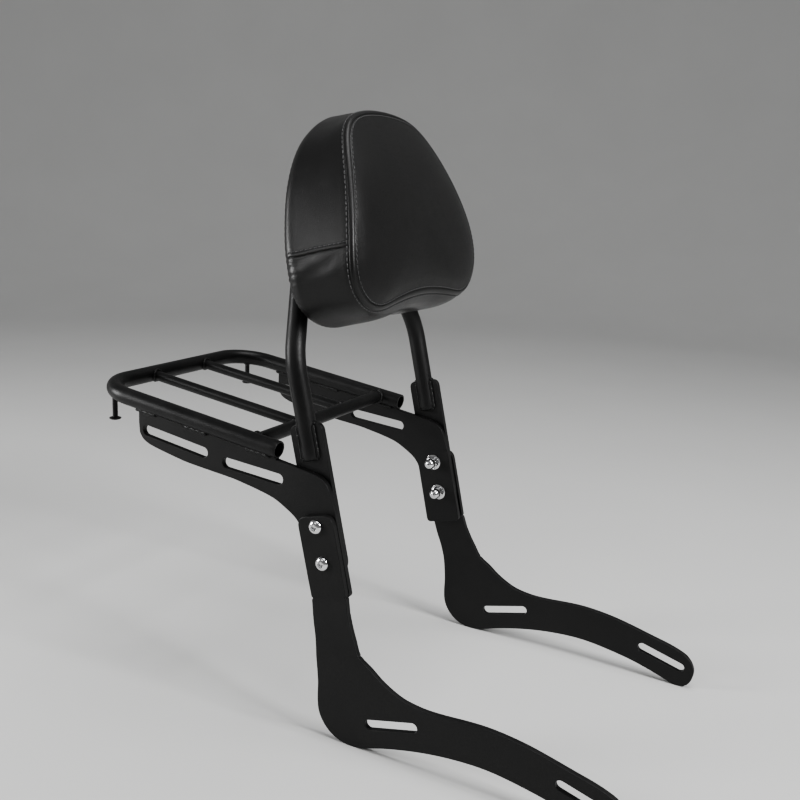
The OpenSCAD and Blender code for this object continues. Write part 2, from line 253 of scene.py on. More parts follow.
COAT = powder_coat("powder_coat_black")
COAT_TUBE = powder_coat("powder_coat_tube", 0.007, 0.8, 0.36, 0.5)
WELD = powder_coat("powder_coat_weld", 0.010, 0.7, 0.33, 0.44)
CHROME = bright_metal("chrome_polished", (0.82, 0.82, 0.83), 0.05, 0.11, 0.04)
ZINC = bright_metal("zinc_bright", (0.62, 0.62, 0.6), 0.24, 0.36, 0.12, 900.0)
VINYL = vinyl_mat("vinyl_black")
THREAD = thread_mat("thread_black")
BOARD = board_mat("board_black")
FLOOR = floor_mat("floor_pale")
STAPLE = bright_metal("staple_wire", (0.5, 0.5, 0.49), 0.25, 0.4, 0.1)


# ---------------------------------------------------------------- mesh helpers
def make(name, verts, faces, mat, sharp=None, weighted=False):
    me = bpy.data.meshes.new(name)
    me.from_pydata([tuple(v) for v in verts], [], faces)
    me.validate()
    me.update()
    me.polygons.foreach_set("use_smooth", [True] * len(me.polygons))
    if sharp is not None:
        me.set_sharp_from_angle(angle=math.radians(sharp))
    ob = bpy.data.objects.new(name, me)
    bpy.context.scene.collection.objects.link(ob)
    ob.data.materials.append(mat)
    if weighted:
        md = ob.modifiers.new("wn", "WEIGHTED_NORMAL")
        md.mode = "FACE_AREA"
        md.weight = 60
        md.keep_sharp = True
        dg = bpy.context.evaluated_depsgraph_get()
        new = bpy.data.meshes.new_from_object(ob.evaluated_get(dg))
        ob.modifiers.clear()
        ob.data = new
        new.name = name
    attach(ob, "root")
    return ob


class Soup:
    """Collects many small surfaces into one mesh."""

    def __init__(self):
        self.v, self.f = [], []

    def grid(self, rows, close_u=True, cap0=False, cap1=False):
        base = len(self.v)
        n = len(rows[0])
        for r in rows:
            self.v.extend(r)
        for i in range(len(rows) - 1):
            for j in range(n if close_u else n - 1):
                a = base + i * n + j
                b = base + i * n + (j + 1) % n
                self.f.append((a, b, b + n, a + n))
        if cap0:
            self.f.append(tuple(base + j for j in reversed(range(n))))
        if cap1:
            k = base + (len(rows) - 1) * n
            self.f.append(tuple(k + j for j in range(n)))

    def make(self, name, mat, slot, sharp=None, weighted=False):
        return make(name, self.v, self.f, mat, sharp, weighted)


def frame_of(axis):
    a = axis.normalized()
    t = Vector((0, 0, 1)) if abs(a.z) < 0.9 else Vector((1, 0, 0))
    e1 = a.cross(t).normalized()
    return a, e1, a.cross(e1)


def transport(pts, e_start=None):
    """Parallel-transported side directions along a run of points."""
    n = len(pts)
    tang = []
    for i in range(n):
        d = pts[min(i + 1, n - 1)] - pts[max(i - 1, 0)]
        tang.append(d.normalized())
    e = e_start if e_start is not None else frame_of(tang[0])[1]
    e = (e - tang[0] * e.dot(tang[0])).normalized()
    res = [e]
    for i in range(1, n):
        e = res[-1] - tang[i] * res[-1].dot(tang[i])
        res.append(e.normalized())
    return tang, res


def sweep_rows(pts, radii, sides=24, e_start=None):
    tang, es = transport(pts, e_start)
    rows = []
    for p, t, e, r in zip(pts, tang, es, radii):
        f = t.cross(e)
        rows.append([p + (e * math.cos(2 * math.pi * j / sides) + f * math.sin(2 * math.pi * j / sides)) * r for j in range(sides)])
    return rows


# ---------------------------------------------------------------- flat plates with eased edges
def face_loops(node):
    bm = bmesh.new()
    bm.from_mesh(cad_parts[node].data)
    bmesh.ops.remove_doubles(bm, verts=bm.verts, dist=3e-6)
    bm.normal_update()
    bm.verts.index_update()
    sel = {f for f in bm.faces if f.normal.x > 0.9}
    nxt, co = {}, {}
    for f in sel:
        for l in f.loops:
            if not any(g is not f and g in sel for g in l.edge.link_faces):
                nxt[l.vert.index] = l.link_loop_next.vert.index
                co[l.vert.index] = (l.vert.co.y / MM, l.vert.co.z / MM)
    loops, seen = [], set()
    for s in nxt:
        if s in seen:
            continue
        run, k = [], s
        while k not in seen:
            seen.add(k)
            run.append(co[k])
            k = nxt[k]
        if len(run) > 4:
            loops.append(run)
    bm.free()
    return loops


def clean(loop, longest=6.0):
    pts = [np.array(p) for p in loop]
    out = []
    for p in pts:
        if not out or np.linalg.norm(p - out[-1]) > 0.12:
            out.append(p)
    if np.linalg.norm(out[0] - out[-1]) < 0.12:
        out.pop()
    keep = []
    n = len(out)
    for i in range(n):
        a, b, c = out[i - 1], out[i], out[(i + 1) % n]
        u, v = b - a, c - b
        cr = abs(u[0] * v[1] - u[1] * v[0]) / (np.linalg.norm(u) * np.linalg.norm(v))
        if cr > 0.002:
            keep.append(b)
    res = []
    n = len(keep)
    for i in range(n):
        a, b = keep[i], keep[(i + 1) % n]
        k = max(1, int(math.ceil(np.linalg.norm(b - a) / longest)))
        for j in range(k):
            res.append(a + (b - a) * j / k)
    return np.array(res)


def inset(P, d):
    """Moves a loop into the material on its left by d."""
    prev, nx = np.roll(P, 1, 0), np.roll(P, -1, 0)
    u, v = P - prev, nx - P
    u /= np.linalg.norm(u, axis=1)[:, None]
    v /= np.linalg.norm(v, axis=1)[:, None]
    n1 = np.stack([-u[:, 1], u[:, 0]], 1)
    n2 = np.stack([-v[:, 1], v[:, 0]], 1)
    k = 1.0 + (n1 * n2).sum(1)
    k = np.maximum(k, 0.55)
    return P + d * (n1 + n2) / k[:, None]


def inside(pts, loops):
    res = np.zeros(len(pts), bool)
    for P in loops:
        A, B = P, np.roll(P, -1, 0)
        for a, b in zip(A, B):
            cond = (a[1] > pts[:, 1]) != (b[1] > pts[:, 1])
            if abs(b[1] - a[1]) < 1e-12:
                continue
            xs = (b[0] - a[0]) * (pts[:, 1] - a[1]) / (b[1] - a[1]) + a[0]
            res ^= cond & (pts[:, 0] < xs)
    return res


def plate(node, x_in, x_out, ease=0.55, bend=None, grid_pts=None):
    """Flat plate between two X values (mm), outline and holes from the CAD node, edges eased."""
    loops = [clean(l) for l in face_loops(node)]
    steps = [math.radians(a) for a in (0, 30, 60, 90)]
    hi, lo = max(x_in, x_out), min(x_in, x_out)
    levels = [(ease * (1 - math.sin(a)), hi - ease * (1 - math.cos(a))) for a in steps]
    levels += [(ease * (1 - math.sin(a)), lo + ease * (1 - math.cos(a))) for a in reversed(steps)]
    verts, faces, top_ids, bot_ids = [], [], [], []
    for P in loops:
        n = len(P)
        base = len(verts)
        for d, x in levels:
            for q in inset(P, d):
                verts.append([x, q[0], q[1]])
        for i in range(len(levels) - 1):
            for j in range(n):
                a = base + i * n + j
                b = base + i * n + (j + 1) % n
                faces.append((a, a + n, b + n, b))
        top_ids.append(list(range(base, base + n)))
        k = base + (len(levels) - 1) * n
        bot_ids.append(list(range(k, k + n)))
    cap_loops = [inset(P, ease) for P in loops]
    flat = np.concatenate(cap_loops)
    edges, off = [], 0
    for P in cap_loops:
        n = len(P)
        edges += [(off + j, off + (j + 1) % n) for j in range(n)]
        off += n
    extra = []
    if grid_pts is not None and len(grid_pts):
        g = np.array(grid_pts)
        near = np.array([np.min(np.hypot(*(flat - p).T)) for p in g])
        g = g[(near > 1.6) & inside(g, cap_loops)]
        extra = list(g)
    coords = [Vector(p) for p in flat] + [Vector(p) for p in extra]
    V, _, F, ov, _, _ = delaunay_2d_cdt(coords, edges, [], 0, 1e-7, True)
    first = [o[0] if o else None for o in ov]
    cent = np.array([[sum(V[k][0] for k in f) / len(f), sum(V[k][1] for k in f) / len(f)] for f in F])
    ok = inside(cent, cap_loops)
    for x, ids, flip in ((hi, sum(top_ids, []), False), (lo, sum(bot_ids, []), True)):
        mapping = {}
        for k, o in enumerate(first):
            if o is not None and o < len(flat):
                mapping[k] = ids[o]
            else:
                verts.append([x, V[k][0], V[k][1]])
                mapping[k] = len(verts) - 1
        for f, good in zip(F, ok):
            if not good:
                continue
            t = [mapping[k] for k in f]
            area = sum(V[f[i]][0] * V[f[(i + 1) % 3]][1] - V[f[(i + 1) % 3]][0] * V[f[i]][1] for i in range(3))
            # slivers along a straight edge would spoil the shading
            if abs(area) < 0.03:
                continue
            if (area < 0) != flip:
                t.reverse()
            faces.append(tuple(t))
    if bend is not None:
        for v in verts:
            v[0] += bend(v[1], v[2])
    verts = [Vector(v) * MM for v in verts]
    ob = make(node + "_eased", verts, faces, COAT, 50, True)
    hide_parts(node)
    return ob


def soft_ramp(d, w=5.0):
    if d <= -w:
        return 0.0
    if d >= w:
        return d
    return (d + w) ** 2 / (4 * w)


def leg_step(y, z):
    """Outward step of a leg below the screws, as a share of the full step, with rounded folds."""
    yy, zz = y + 31.5, z + 34.5
    s = -(yy + 54.0) * SL + (zz - 172.0) * CL
    d = -34.0 - s
    return (soft_ramp(d) - soft_ramp(d - 55.0)) / 55.0


fold_grid = []
for i in range(-14, 15):
    for s in [v for c in (-34.0, -89.0) for v in (c - 5, c - 3.3, c - 1.7, c, c + 1.7, c + 3.3, c + 5)]:
        n = i * 4.0
        fold_grid.append((-54.0 - 31.5 - s * SL + n * CL, 172.0 - 34.5 + s * CL + n * SL))
for e, side in ((1, "right"), (-1, "left")):
    plate("leg_" + side, e * 131.0, e * 137.0, 0.6, lambda y, z, e=e: e * 10.0 * leg_step(y, z), fold_grid)
    plate("backrest_plate_" + side, e * 125.0 - 6.0, e * 125.0, 0.6)
    plate("rack_plate_" + side, e * 125.0, e * 125.0 + 6.0, 0.6)


# ---------------------------------------------------------------- tubes and bars
def arc_path(pts, radii, step=4.0):
    """Polyline with rounded corners, as points in 2-D (mm)."""
    out = [np.array(pts[0], float)]
    for i in range(1, len(pts) - 1):
        a, b, c = (np.array(p, float) for p in pts[i - 1 : i + 2])
        u, v = (b - a) / np.linalg.norm(b - a), (c - b) / np.linalg.norm(c - b)
        ang = math.atan2(u[0] * v[1] - u[1] * v[0], u @ v)
        r = radii[i]
        cut = r * math.tan(abs(ang) / 2)
        s0 = b - u * cut
        sg = 1 if ang > 0 else -1
        cen = s0 + np.array([-u[1], u[0]]) * sg * r
        k = max(6, int(abs(ang) * r / 2.0))
        for j in range(k + 1):
            t = ang * j / k
            d = s0 - cen
            out.append(cen + np.array([d[0] * math.cos(t) - d[1] * math.sin(t), d[0] * math.sin(t) + d[1] * math.cos(t)]))
    out.append(np.array(pts[-1], float))
    dense = [out[0]]
    for q in out[1:]:
        d = np.linalg.norm(q - dense[-1])
        k = max(1, int(d / step))
        p0 = dense[-1]
        for j in range(1, k + 1):
            dense.append(p0 + (q - p0) * j / k)
    return dense


# backrest bar
TAPER = math.tan(math.radians(25.0))
tip_x = 125.0 - (385.0 - 195.0) * TAPER
bar_line = arc_path([(125, 98), (125, 195), (tip_x, 385), (-tip_x, 385), (-125, 195), (-125, 98)], [0, 70, 45, 45, 70, 0], 6.0)
path = [bar_pt(p[0], p[1], 0) for p in bar_line]
s = Soup()
rows = sweep_rows(path, [9.5 * MM] * len(path), 48, BAR_N)


def end_rows(path, r, k, sides=48):
    """End point of a path and the direction out past it, at the start for k 0, else at the end."""
    d = (path[0] - path[1]).normalized() if k == 0 else (path[-1] - path[-2]).normalized()
    p = path[0] if k == 0 else path[-1]
    return p, d


tang, es = transport(path, BAR_N)


def ring(p, t, e, r, sides=48):
    f = t.cross(e)
    return [p + (e * math.cos(2 * math.pi * j / sides) + f * math.sin(2 * math.pi * j / sides)) * r for j in range(sides)]


head = [ring(path[0] + tang[0] * (0.8 - 0.8 * math.cos(a)) * 0 + tang[0] * (1.5 * (1 - math.sin(a))) * MM, tang[0], es[0], (9.5 - 1.5 * (1 - math.cos(a))) * MM) for a in (math.pi / 2, math.pi / 3, math.pi / 6)]
tail = [ring(path[-1] - tang[-1] * (1.5 * (1 - math.sin(a))) * MM, tang[-1], es[-1], (9.5 - 1.5 * (1 - math.cos(a))) * MM) for a in (math.pi / 6, math.pi / 3, math.pi / 2)]
rows = head + rows[1:-1] + tail
s.grid(rows, True, True, True)
bar = s.make("backrest_bar_smooth", COAT_TUBE, "powder_coat", 60)
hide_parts("backrest_bar")

# rack tube, open at its front ends
rack_line = arc_path([(125, 0), (125, -233), (-125, -233), (-125, 0)], [0, 42, 42, 0], 6.0)
path = [rack_pt(p[0], p[1], 0) for p in rack_line]
tang, es = transport(path, RACK_W)
s = Soup()
R0, R1, ER = 8.75, 6.75, 0.5
outer = [ring(p, t, e, R0 * MM) for p, t, e in zip(path, tang, es)]
inner = [ring(p, t, e, R1 * MM) for p, t, e in zip(path, tang, es)]


def lip(p, t, e, sgn):
    """Rounded edge of an open tube end, from the outside in."""
    res = []
    for a in (0, 30, 60, 90):
        q = math.radians(a)
        res.append(ring(p + t * sgn * (ER * (1 - math.sin(q))) * MM, t, e, (R0 - ER * (1 - math.cos(q))) * MM))
    for a in (90, 60, 30, 0):
        q = math.radians(a)
        res.append(ring(p + t * sgn * (ER * (1 - math.sin(q))) * MM, t, e, (R1 + ER * (1 - math.cos(q))) * MM))
    return res


lip0 = lip(path[0], tang[0], es[0], 1)
lip1 = lip(path[-1], tang[-1], es[-1], -1)
rows = outer[1:-1] + lip1 + list(reversed(inner[1:-1])) + list(reversed(lip0))
rows.append(rows[0])
s.grid(rows, True)
rack = s.make("rack_tube_smooth", COAT_TUBE, "powder_coat", 60)
bm = bmesh.new()
bm.from_mesh(rack.data)
bmesh.ops.remove_doubles(bm, verts=bm.verts, dist=1e-6)
bmesh.ops.recalc_face_normals(bm, faces=bm.faces)
bm.to_mesh(rack.data)
bm.free()
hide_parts("rack_tube")


def round_rod(name, node, a, b, r, ends, sides=40):
    """Straight bar between two points, its ends shaped to saddle on what it meets."""
    ax = (b - a)
    L = ax.length
    t = ax.normalized()
    e = frame_of(t)[1]
    f = t.cross(e)
    rows = []
    for u in (0, 0.02, 0.25, 0.5, 0.75, 0.98, 1):
        row = []
        for j in range(sides):
            q = 2 * math.pi * j / sides
            off = (e * math.cos(q) + f * math.sin(q)) * r
            lo, hi = ends[0](off), ends[1](off)
            row.append(a + off + t * (lo + (L - lo - hi) * u))
        rows.append(row)
    s = Soup()
    s.grid(rows, True, True, True)
    ob = s.make(name, COAT_TUBE, "powder_coat", 60)
    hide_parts(node)
    return ob


def saddle(radius, across):
    """Distance from a tube's axis to its surface, at a bar point offset along 'across'."""
    return lambda off: math.sqrt(max((radius * MM) ** 2 - off.dot(across) ** 2, 0.0)) - 0.0004


for e, side in ((1, "right"), (-1, "left")):
    round_rod("rack_bar_%s_smooth" % side, "rack_bar_" + side, rack_pt(e * 43, -233, 0), rack_pt(e * 43, -29, 0), 5.5 * MM, (saddle(8.75, RACK_W), saddle(7.0, RACK_W)))
round_rod("rack_crossbar_smooth", "rack_crossbar", rack_pt(-125, -29, 0), rack_pt(125, -29, 0), 7.0 * MM, (saddle(8.75, RACK_W), saddle(8.75, RACK_W)))

# pad straps: flat bars with eased edges, ends shaped to the sloping bars
for node, s0 in (("pad_strap_lower", 250.0), ("pad_strap_upper", 335.0)):
    soup = Soup()
    w, t, ez = 25.0, 4.0, 0.6
    prof = []
    for cx, cy, a0 in ((w / 2 - ez, t / 2 - ez, 0), (-w / 2 + ez, t / 2 - ez, 90), (-w / 2 + ez, -t / 2 + ez, 180), (w / 2 - ez, -t / 2 + ez, 270)):
        for a in (0, 30, 60, 90):
            q = math.radians(a0 + a)
            prof.append((cx + ez * math.cos(q), cy + ez * math.sin(q)))
    rows = []
    for u in np.linspace(-1, 1, 41):
        row = []
        for ds, dn in prof:
            sv = s0 + ds
            hx = 125.0 - (sv - 195.0) * TAPER
            n = 9.0 + dn
            clear = 0.0
            if n < 9.5:
                clear = math.sqrt(9.5 ** 2 - n ** 2) / math.cos(math.radians(25))
            lim = max(hx - clear, 5.0)
            row.append(bar_pt(u * lim, sv, n))
        rows.append(row)
    soup.grid(rows, True, True, True)
    ob = soup.make(node + "_eased", COAT, "powder_coat", 50)
    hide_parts(node)


# ---------------------------------------------------------------- weld beads
rng = random.Random(7)


def bead(soup, pts, r=2.0, ripple=0.16, pitch=1.7, sides=10, closed=False, squash=None):
    """Ripple-faced weld bead along a run of points (m)."""
    P = [Vector(p) for p in pts]
    if closed:
        P.append(P[0].copy())
    d = [0.0]
    for a, b in zip(P, P[1:]):
        d.append(d[-1] + (b - a).length / MM)
    L = d[-1]
    step = 0.42
    k = max(6, int(L / step))
    Q, rad = [], []
    ph = rng.random() * 6.28
    idx = 0
    for i in range(k + 1):
        t = L * i / k
        while idx < len(d) - 2 and d[idx + 1] < t:
            idx += 1
        f = (t - d[idx]) / max(d[idx + 1] - d[idx], 1e-9)
        Q.append(P[idx].lerp(P[idx + 1], f))
        saw = ((t / pitch + ph) % 1.0)
        rr = r * (1.0 + ripple * (0.5 - abs(saw - 0.35)) + 0.06 * math.sin(t * 0.9 + ph) + 0.03 * math.sin(t * 2.3))
        if not closed:
            edge = min(t, L - t) / (r * 0.9)
            if edge < 1:
                rr *= math.sqrt(max(1 - (1 - edge) ** 2, 0.02))
        rad.append(rr * MM)
    soup.grid(sweep_rows(Q, rad, sides), True, True, True)


welds = Soup()
# bar to backrest plates: along both faces and round the lower end
for e in (1, -1):
    for f in (1, -1):
        for g in (1, -1):
            x = e * 125 + f * 3.4
            bead(welds, [bar_pt(x, v, g * 9.0) for v in np.linspace(99, 131, 20)], 1.9)
        arc = [bar_pt(e * 125 + f * 3.4, 98.6 - 0.0 * a, 9.0 * math.cos(math.radians(a))) for a in range(0, 181, 15)]
        bead(welds, arc, 1.8)
    # where the plate's top edge meets the bar
    for g in (1, -1):
        bead(welds, [bar_pt(e * 125 + q, 132.0, g * 9.6) for q in np.linspace(-3.2, 3.2, 6)], 1.7)
# rack tube to rack plates: three stitch welds on each face
for e in (1, -1):
    for f in (1, -1):
        for v0, v1 in ((-8, -36), (-84, -112), (-150, -176)):
            bead(welds, [rack_pt(e * 125 + f * 3.3, v, -8.5) for v in np.linspace(v0, v1, 24)], 1.9)


def saddle_ring(x0, r, R, place, grow=0.55, n=48, a0=0, a1=360):
    """Curve where a bar of radius r lands on a tube of radius R."""
    pts = []
    for i in range(n):
        q = math.radians(a0 + (a1 - a0) * i / (n if a1 - a0 == 360 else n - 1))
        a, w = (r + grow) * math.cos(q), (r + grow) * math.sin(q)
        d = math.sqrt(max((R + grow) ** 2 - w * w, 0.01))
        pts.append(place(a, w, d))
    return pts


for e in (1, -1):
    bead(welds, saddle_ring(0, 7.0, 8.75, lambda a, w, d: rack_pt(e * (125 - d), -29 + a, w)), 1.7, closed=True)
    bead(welds, saddle_ring(0, 5.5, 8.75, lambda a, w, d: rack_pt(e * 43 + a, -233 + d, w)), 1.6, closed=True)
    bead(welds, saddle_ring(0, 5.5, 7.0, lambda a, w, d: rack_pt(e * 43 + a, -29 - d, w)), 1.5, closed=True)
    # posts under the rear corners
    c = rack_pt(e * 116, -218, 0)
    ringp = []
    for i in range(24):
        q = 2 * math.pi * i / 24
        ringp.append(c + Vector((math.cos(q) * 3.0, math.sin(q) * 3.0, 0)) * MM + Vector((0, 0, -8.2 * MM)))
    bead(welds, ringp, 1.3, closed=True)
# straps to the bar
for s0 in (250.0, 335.0):
    for e in (1, -1):
        line = []
        for v in np.linspace(s0 - 11.5, s0 + 11.5, 14):
            hx = 125.0 - (v - 195.0) * TAPER
            line.append(bar_pt(e * (hx - 6.8 / math.cos(math.radians(25))), v, 7.0))
        bead(welds, line, 1.7)
weld_ob = welds.make("weld_beads", WELD, "powder_coat")


# ---------------------------------------------------------------- fasteners
def hex_r(phi, corner):
    """Radius of a hexagon with this corner radius at an angle."""
    q = (phi + math.pi / 6) % (math.pi / 3) - math.pi / 6
    return corner * math.cos(math.pi / 6) / math.cos(((phi) % (math.pi / 3)) - math.pi / 6)


def turned(soup, origin, axis, profile, sides=72, e0=None):
    """Surface of revolution; profile items are (radius, height) or (function of angle, height), in mm."""
    a, e1, e2 = frame_of(axis)
    rows = []
    for r, h in profile:
        row = []
        for j in range(sides):
            q = 2 * math.pi * j / sides
            rr = r(q) if callable(r) else r
            row.append(origin + (e1 * math.cos(q) + e2 * math.sin(q)) * rr * MM + a * h * MM)
        rows.append(row)
    soup.grid(rows, True, True, True)


def head_profile(R, rise0, H, flat_r, hexc, bottom, under=0.0):
    """Dome head with a hexagon socket, from the underside's rim up and down into the socket."""
    prof = [(R - 0.35, under), (R - 0.1, under + 0.1), (R, under + 0.35), (R, rise0 * 0.8)]
    for a in range(0, 61, 5):
        q = math.radians(a)
        r = R * math.cos(q)
        if r < flat_r:
            break
        prof.append((r, rise0 + (H - rise0) * math.sin(q) / math.sin(math.radians(60))))
    prof.append((flat_r * 0.97, H))
    ch = 0.35
    prof.append((lambda q: max(hexc * 1.0 + 0.25, hex_r(q, hexc) + ch), H))
    prof.append((lambda q: hex_r(q, hexc) + 0.08, H - ch * 0.75))
    prof.append((lambda q: hex_r(q, hexc), H - ch * 1.1))
    prof.append((lambda q: hex_r(q, hexc), bottom + 0.1))
    prof.append((lambda q: hex_r(q, hexc) - 0.12, bottom))
    prof.append((0.6, bottom - 0.5))
    return prof


heads, washers, nuts = Soup(), Soup(), Soup()
for s0 in (0.0, 36.0):
    for e in (1, -1):
        q = Vector((e * 137.0, -85.5 - s0 * SL, 137.5 + s0 * CL)) * MM
        ax = Vector((e, 0, 0))
        turned(heads, q, ax, head_profile(7.0, 0.8, 4.4, 3.6, 2.9, 1.8))
        shank = [(3.6, -0.0), (4.0, -0.5)] + [(4.0, -28.0), (3.4, -28.6)]
        turned(heads, q, ax, list(reversed([(0.5, -28.6)] + [(r, h) for r, h in reversed(shank)])), 40)
        w0 = -18.0
        turned(washers, q, ax, [(4.2, w0 - 0.2), (4.4, w0), (8.6, w0), (8.9, w0 - 0.12), (9.0, w0 - 0.4), (9.0, w0 - 1.2), (8.9, w0 - 1.48), (8.6, w0 - 1.6), (4.4, w0 - 1.6), (4.2, w0 - 1.4), (4.2, w0 - 0.2)], 72)
        n0 = w0 - 1.6
        prof = [(4.0, n0 - 0.0)]
        prof += [(6.3, n0), (lambda q: min(hex_r(q, 7.5), 6.75), n0 - 0.25), (lambda q: min(hex_r(q, 7.5), 7.15), n0 - 0.6), (lambda q: min(hex_r(q, 7.5), 7.42), n0 - 0.95), (lambda q: hex_r(q, 7.5) - 0.02, n0 - 1.3)]
        prof += [(lambda q: hex_r(q, 7.5) - 0.02, n0 - 5.0), (lambda q: min(hex_r(q, 7.5), 7.42), n0 - 5.4), (lambda q: min(hex_r(q, 7.5), 7.1), n0 - 5.8), (lambda q: min(hex_r(q, 7.5), 6.7), n0 - 6.15), (6.35, n0 - 6.4), (6.12, n0 - 6.5), (6.02, n0 - 6.75), (6.0, n0 - 7.2), (6.0, n0 - 9.0)]
        for a in range(6, 90, 7):
            prof.append((6.0 * math.cos(math.radians(a)), n0 - 9.0 - 6.0 * math.sin(math.radians(a))))
        prof.append((0.2, n0 - 15.0))
        turned(nuts, q, ax, prof)
ob = heads.make("side_screws_fine", CHROME, "chrome_hardware", 28)
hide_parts("side_screws")
ob = washers.make("nut_washers_fine", CHROME, "chrome_hardware", 28)
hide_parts("nut_washers")
ob = nuts.make("cap_nuts_fine", CHROME, "chrome_hardware", 28)
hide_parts("cap_nuts")

small = Soup()
for s0, xx in ((250.0, 70.0), (335.0, 38.0)):
    for e in (1, -1):
        q = bar_pt(e * xx, s0, 7.0)
        turned(small, q, -BAR_N, head_profile(5.5, 1.4, 3.4, 3.0, 2.3, 0.9))
        turned(small, q, -BAR_N, [(0.4, 0.2), (2.8, 0.2), (3.0, 0.0), (3.0, -12.4), (2.6, -13.0), (0.4, -13.0)], 32)
ob = small.make("pad_screws_fine", ZINC, "zinc_hardware", 28)
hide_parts("pad_screws")

for e, side in ((1, "right"), (-1, "left")):
    c = rack_pt(e * 116, -218, 0)
    post = Soup()
    turned(post, c, Vector((0, 0, -1)), [(2.75, 7.4), (2.75, 30.2), (2.9, 30.8), (3.6, 31.1), (4.8, 31.3), (5.8, 31.6), (6.2, 31.95), (6.25, 32.3), (6.1, 32.7), (5.5, 33.15), (4.9, 33.45), (4.2, 33.6), (0.3, 33.6)], 48)
    ob = post.make("tie_post_%s_fine" % side, COAT_TUBE, "powder_coat", 50)
    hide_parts("tie_post_" + side)

# CAD nodes that stay as they are
for node, mat in (("pad_board", BOARD), ("pad_t_nuts", ZINC)):
    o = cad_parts[node]
    if not o.data.materials:
        o.data.materials.append(mat)
    for sl in o.material_slots:
        sl.material = mat
for name in ("pad_foam", "pad_cover"):
    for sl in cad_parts[name].material_slots:
        sl.material = VINYL

# ---------------------------------------------------------------- pad
HALF_MID = [(0, 422), (25, 419.5), (47, 412), (64, 403), (78, 394), (89, 384), (99, 372), (108, 356), (116, 337), (124, 316), (131, 295), (135, 278), (136.3, 262.5), (133.5, 248.5), (125, 235.5), (111.5, 225), (94, 217.5), (75, 214), (50, 214.5), (25, 217.5), (0, 219)]
HALF_FRONT = [(0, 415.5), (25, 414.5), (45, 412), (60, 408), (73, 401), (84, 390.5), (94, 375.5), (103.5, 357), (112.5, 338), (121.5, 317), (129.5, 295), (133.3, 278), (134.5, 262), (130.5, 249), (121.5, 237.5), (109, 229.5), (94, 226), (80, 227), (60, 230.5), (30, 234), (0, 235.5)]


def loop_points(half):
    h = np.array(half, float)
    m = h[1:-1][::-1].copy()
    m[:, 0] *= -1
    return np.concatenate([h, m])


def catmull(P, t):
    """Closed smooth curve through P at parameters t (0 to len(P))."""
    n = len(P)
    i = np.floor(t).astype(int)
    f = (t - i)[:, None]
    a, b, c, d = (P[(i + k) % n] for k in (-1, 0, 1, 2))
    return 0.5 * (2 * b + (c - a) * f + (2 * a - 5 * b + 4 * c - d) * f ** 2 + (3 * b - a - 3 * c + d) * f ** 3)


PM, PF = loop_points(HALF_MID), loop_points(HALF_FRONT)
# a light smoothing of the given outlines
for P in (PM, PF):
    for _ in range(2):
        P += 0.22 * (0.5 * (np.roll(P, 1, 0) + np.roll(P, -1, 0)) - P)
NP = len(PM)
tt = np.linspace(0, NP, 8001)[:-1]
mid_dense = catmull(PM, tt)
seg = np.linalg.norm(np.roll(mid_dense, -1, 0) - mid_dense, axis=1)
arc = np.concatenate([[0], np.cumsum(seg)])
PERIM = arc[-1]


def t_of_arc(a):
    return np.interp(np.mod(a, PERIM), arc, np.append(tt, NP))


SEAM_S = 286.0
right_side = [i for i in range(4000) if mid_dense[i][1] < SEAM_S and mid_dense[i][0] > 60][0]
ARC_R = arc[right_side]
ARC_L = PERIM - ARC_R
SEAM_N = np.array([(200, 78), (226, 79), (236, 80.5), (249, 82.5), (262, 84.2), (286, 86.5), (300, 87), (320, 86), (342, 83.5), (360, 80.3), (375, 76.8), (389, 73), (400, 70), (411, 67.5), (425, 66)], float)


# the same table as a smooth curve
SG = np.arange(150.0, 480.0, 1.0)
SV = np.interp(SG, SEAM_N[:, 0], SEAM_N[:, 1])
KER = np.exp(-0.5 * (np.arange(-45, 46) / 15.0) ** 2)
SV = np.convolve(np.pad(SV, 45, mode="edge"), KER / KER.sum(), mode="valid")


def seam_n(sv):
    return np.interp(sv, SG, SV) - 0.5


def smooth01(x):
    x = np.clip(x, 0, 1)
    return x * x * (3 - 2 * x)


NB = 9.5
# radius of the turned back edge: drawn in most at the upper and lower corners
BACK_R = np.array([(205, 9), (222, 9.5), (234, 12), (245, 14.5), (260, 15.3), (277, 14.5), (300, 10), (340, 9), (358, 11.5), (372, 14.5), (385, 15.3), (405, 15.3), (420, 15)], float)


BG = np.arange(190.0, 440.0, 1.0)
BV = np.interp(BG, BACK_R[:, 0], BACK_R[:, 1])
BV = np.convolve(np.pad(BV, 24, mode="edge"), np.hanning(51)[1:-1] / np.hanning(51).sum(), mode="valid")


def spread(step, fine, reach):
    """Arc positions round the pad, closer together at the two side seams."""
    pos, a = [], 0.0
    while a < PERIM - step * 0.4:
        pos.append(a)
        d = min(abs(a - ARC_R), abs(a - ARC_L))
        a += fine if d < reach else min(step, fine + (d - reach) * 0.35)
    return np.array(pos)


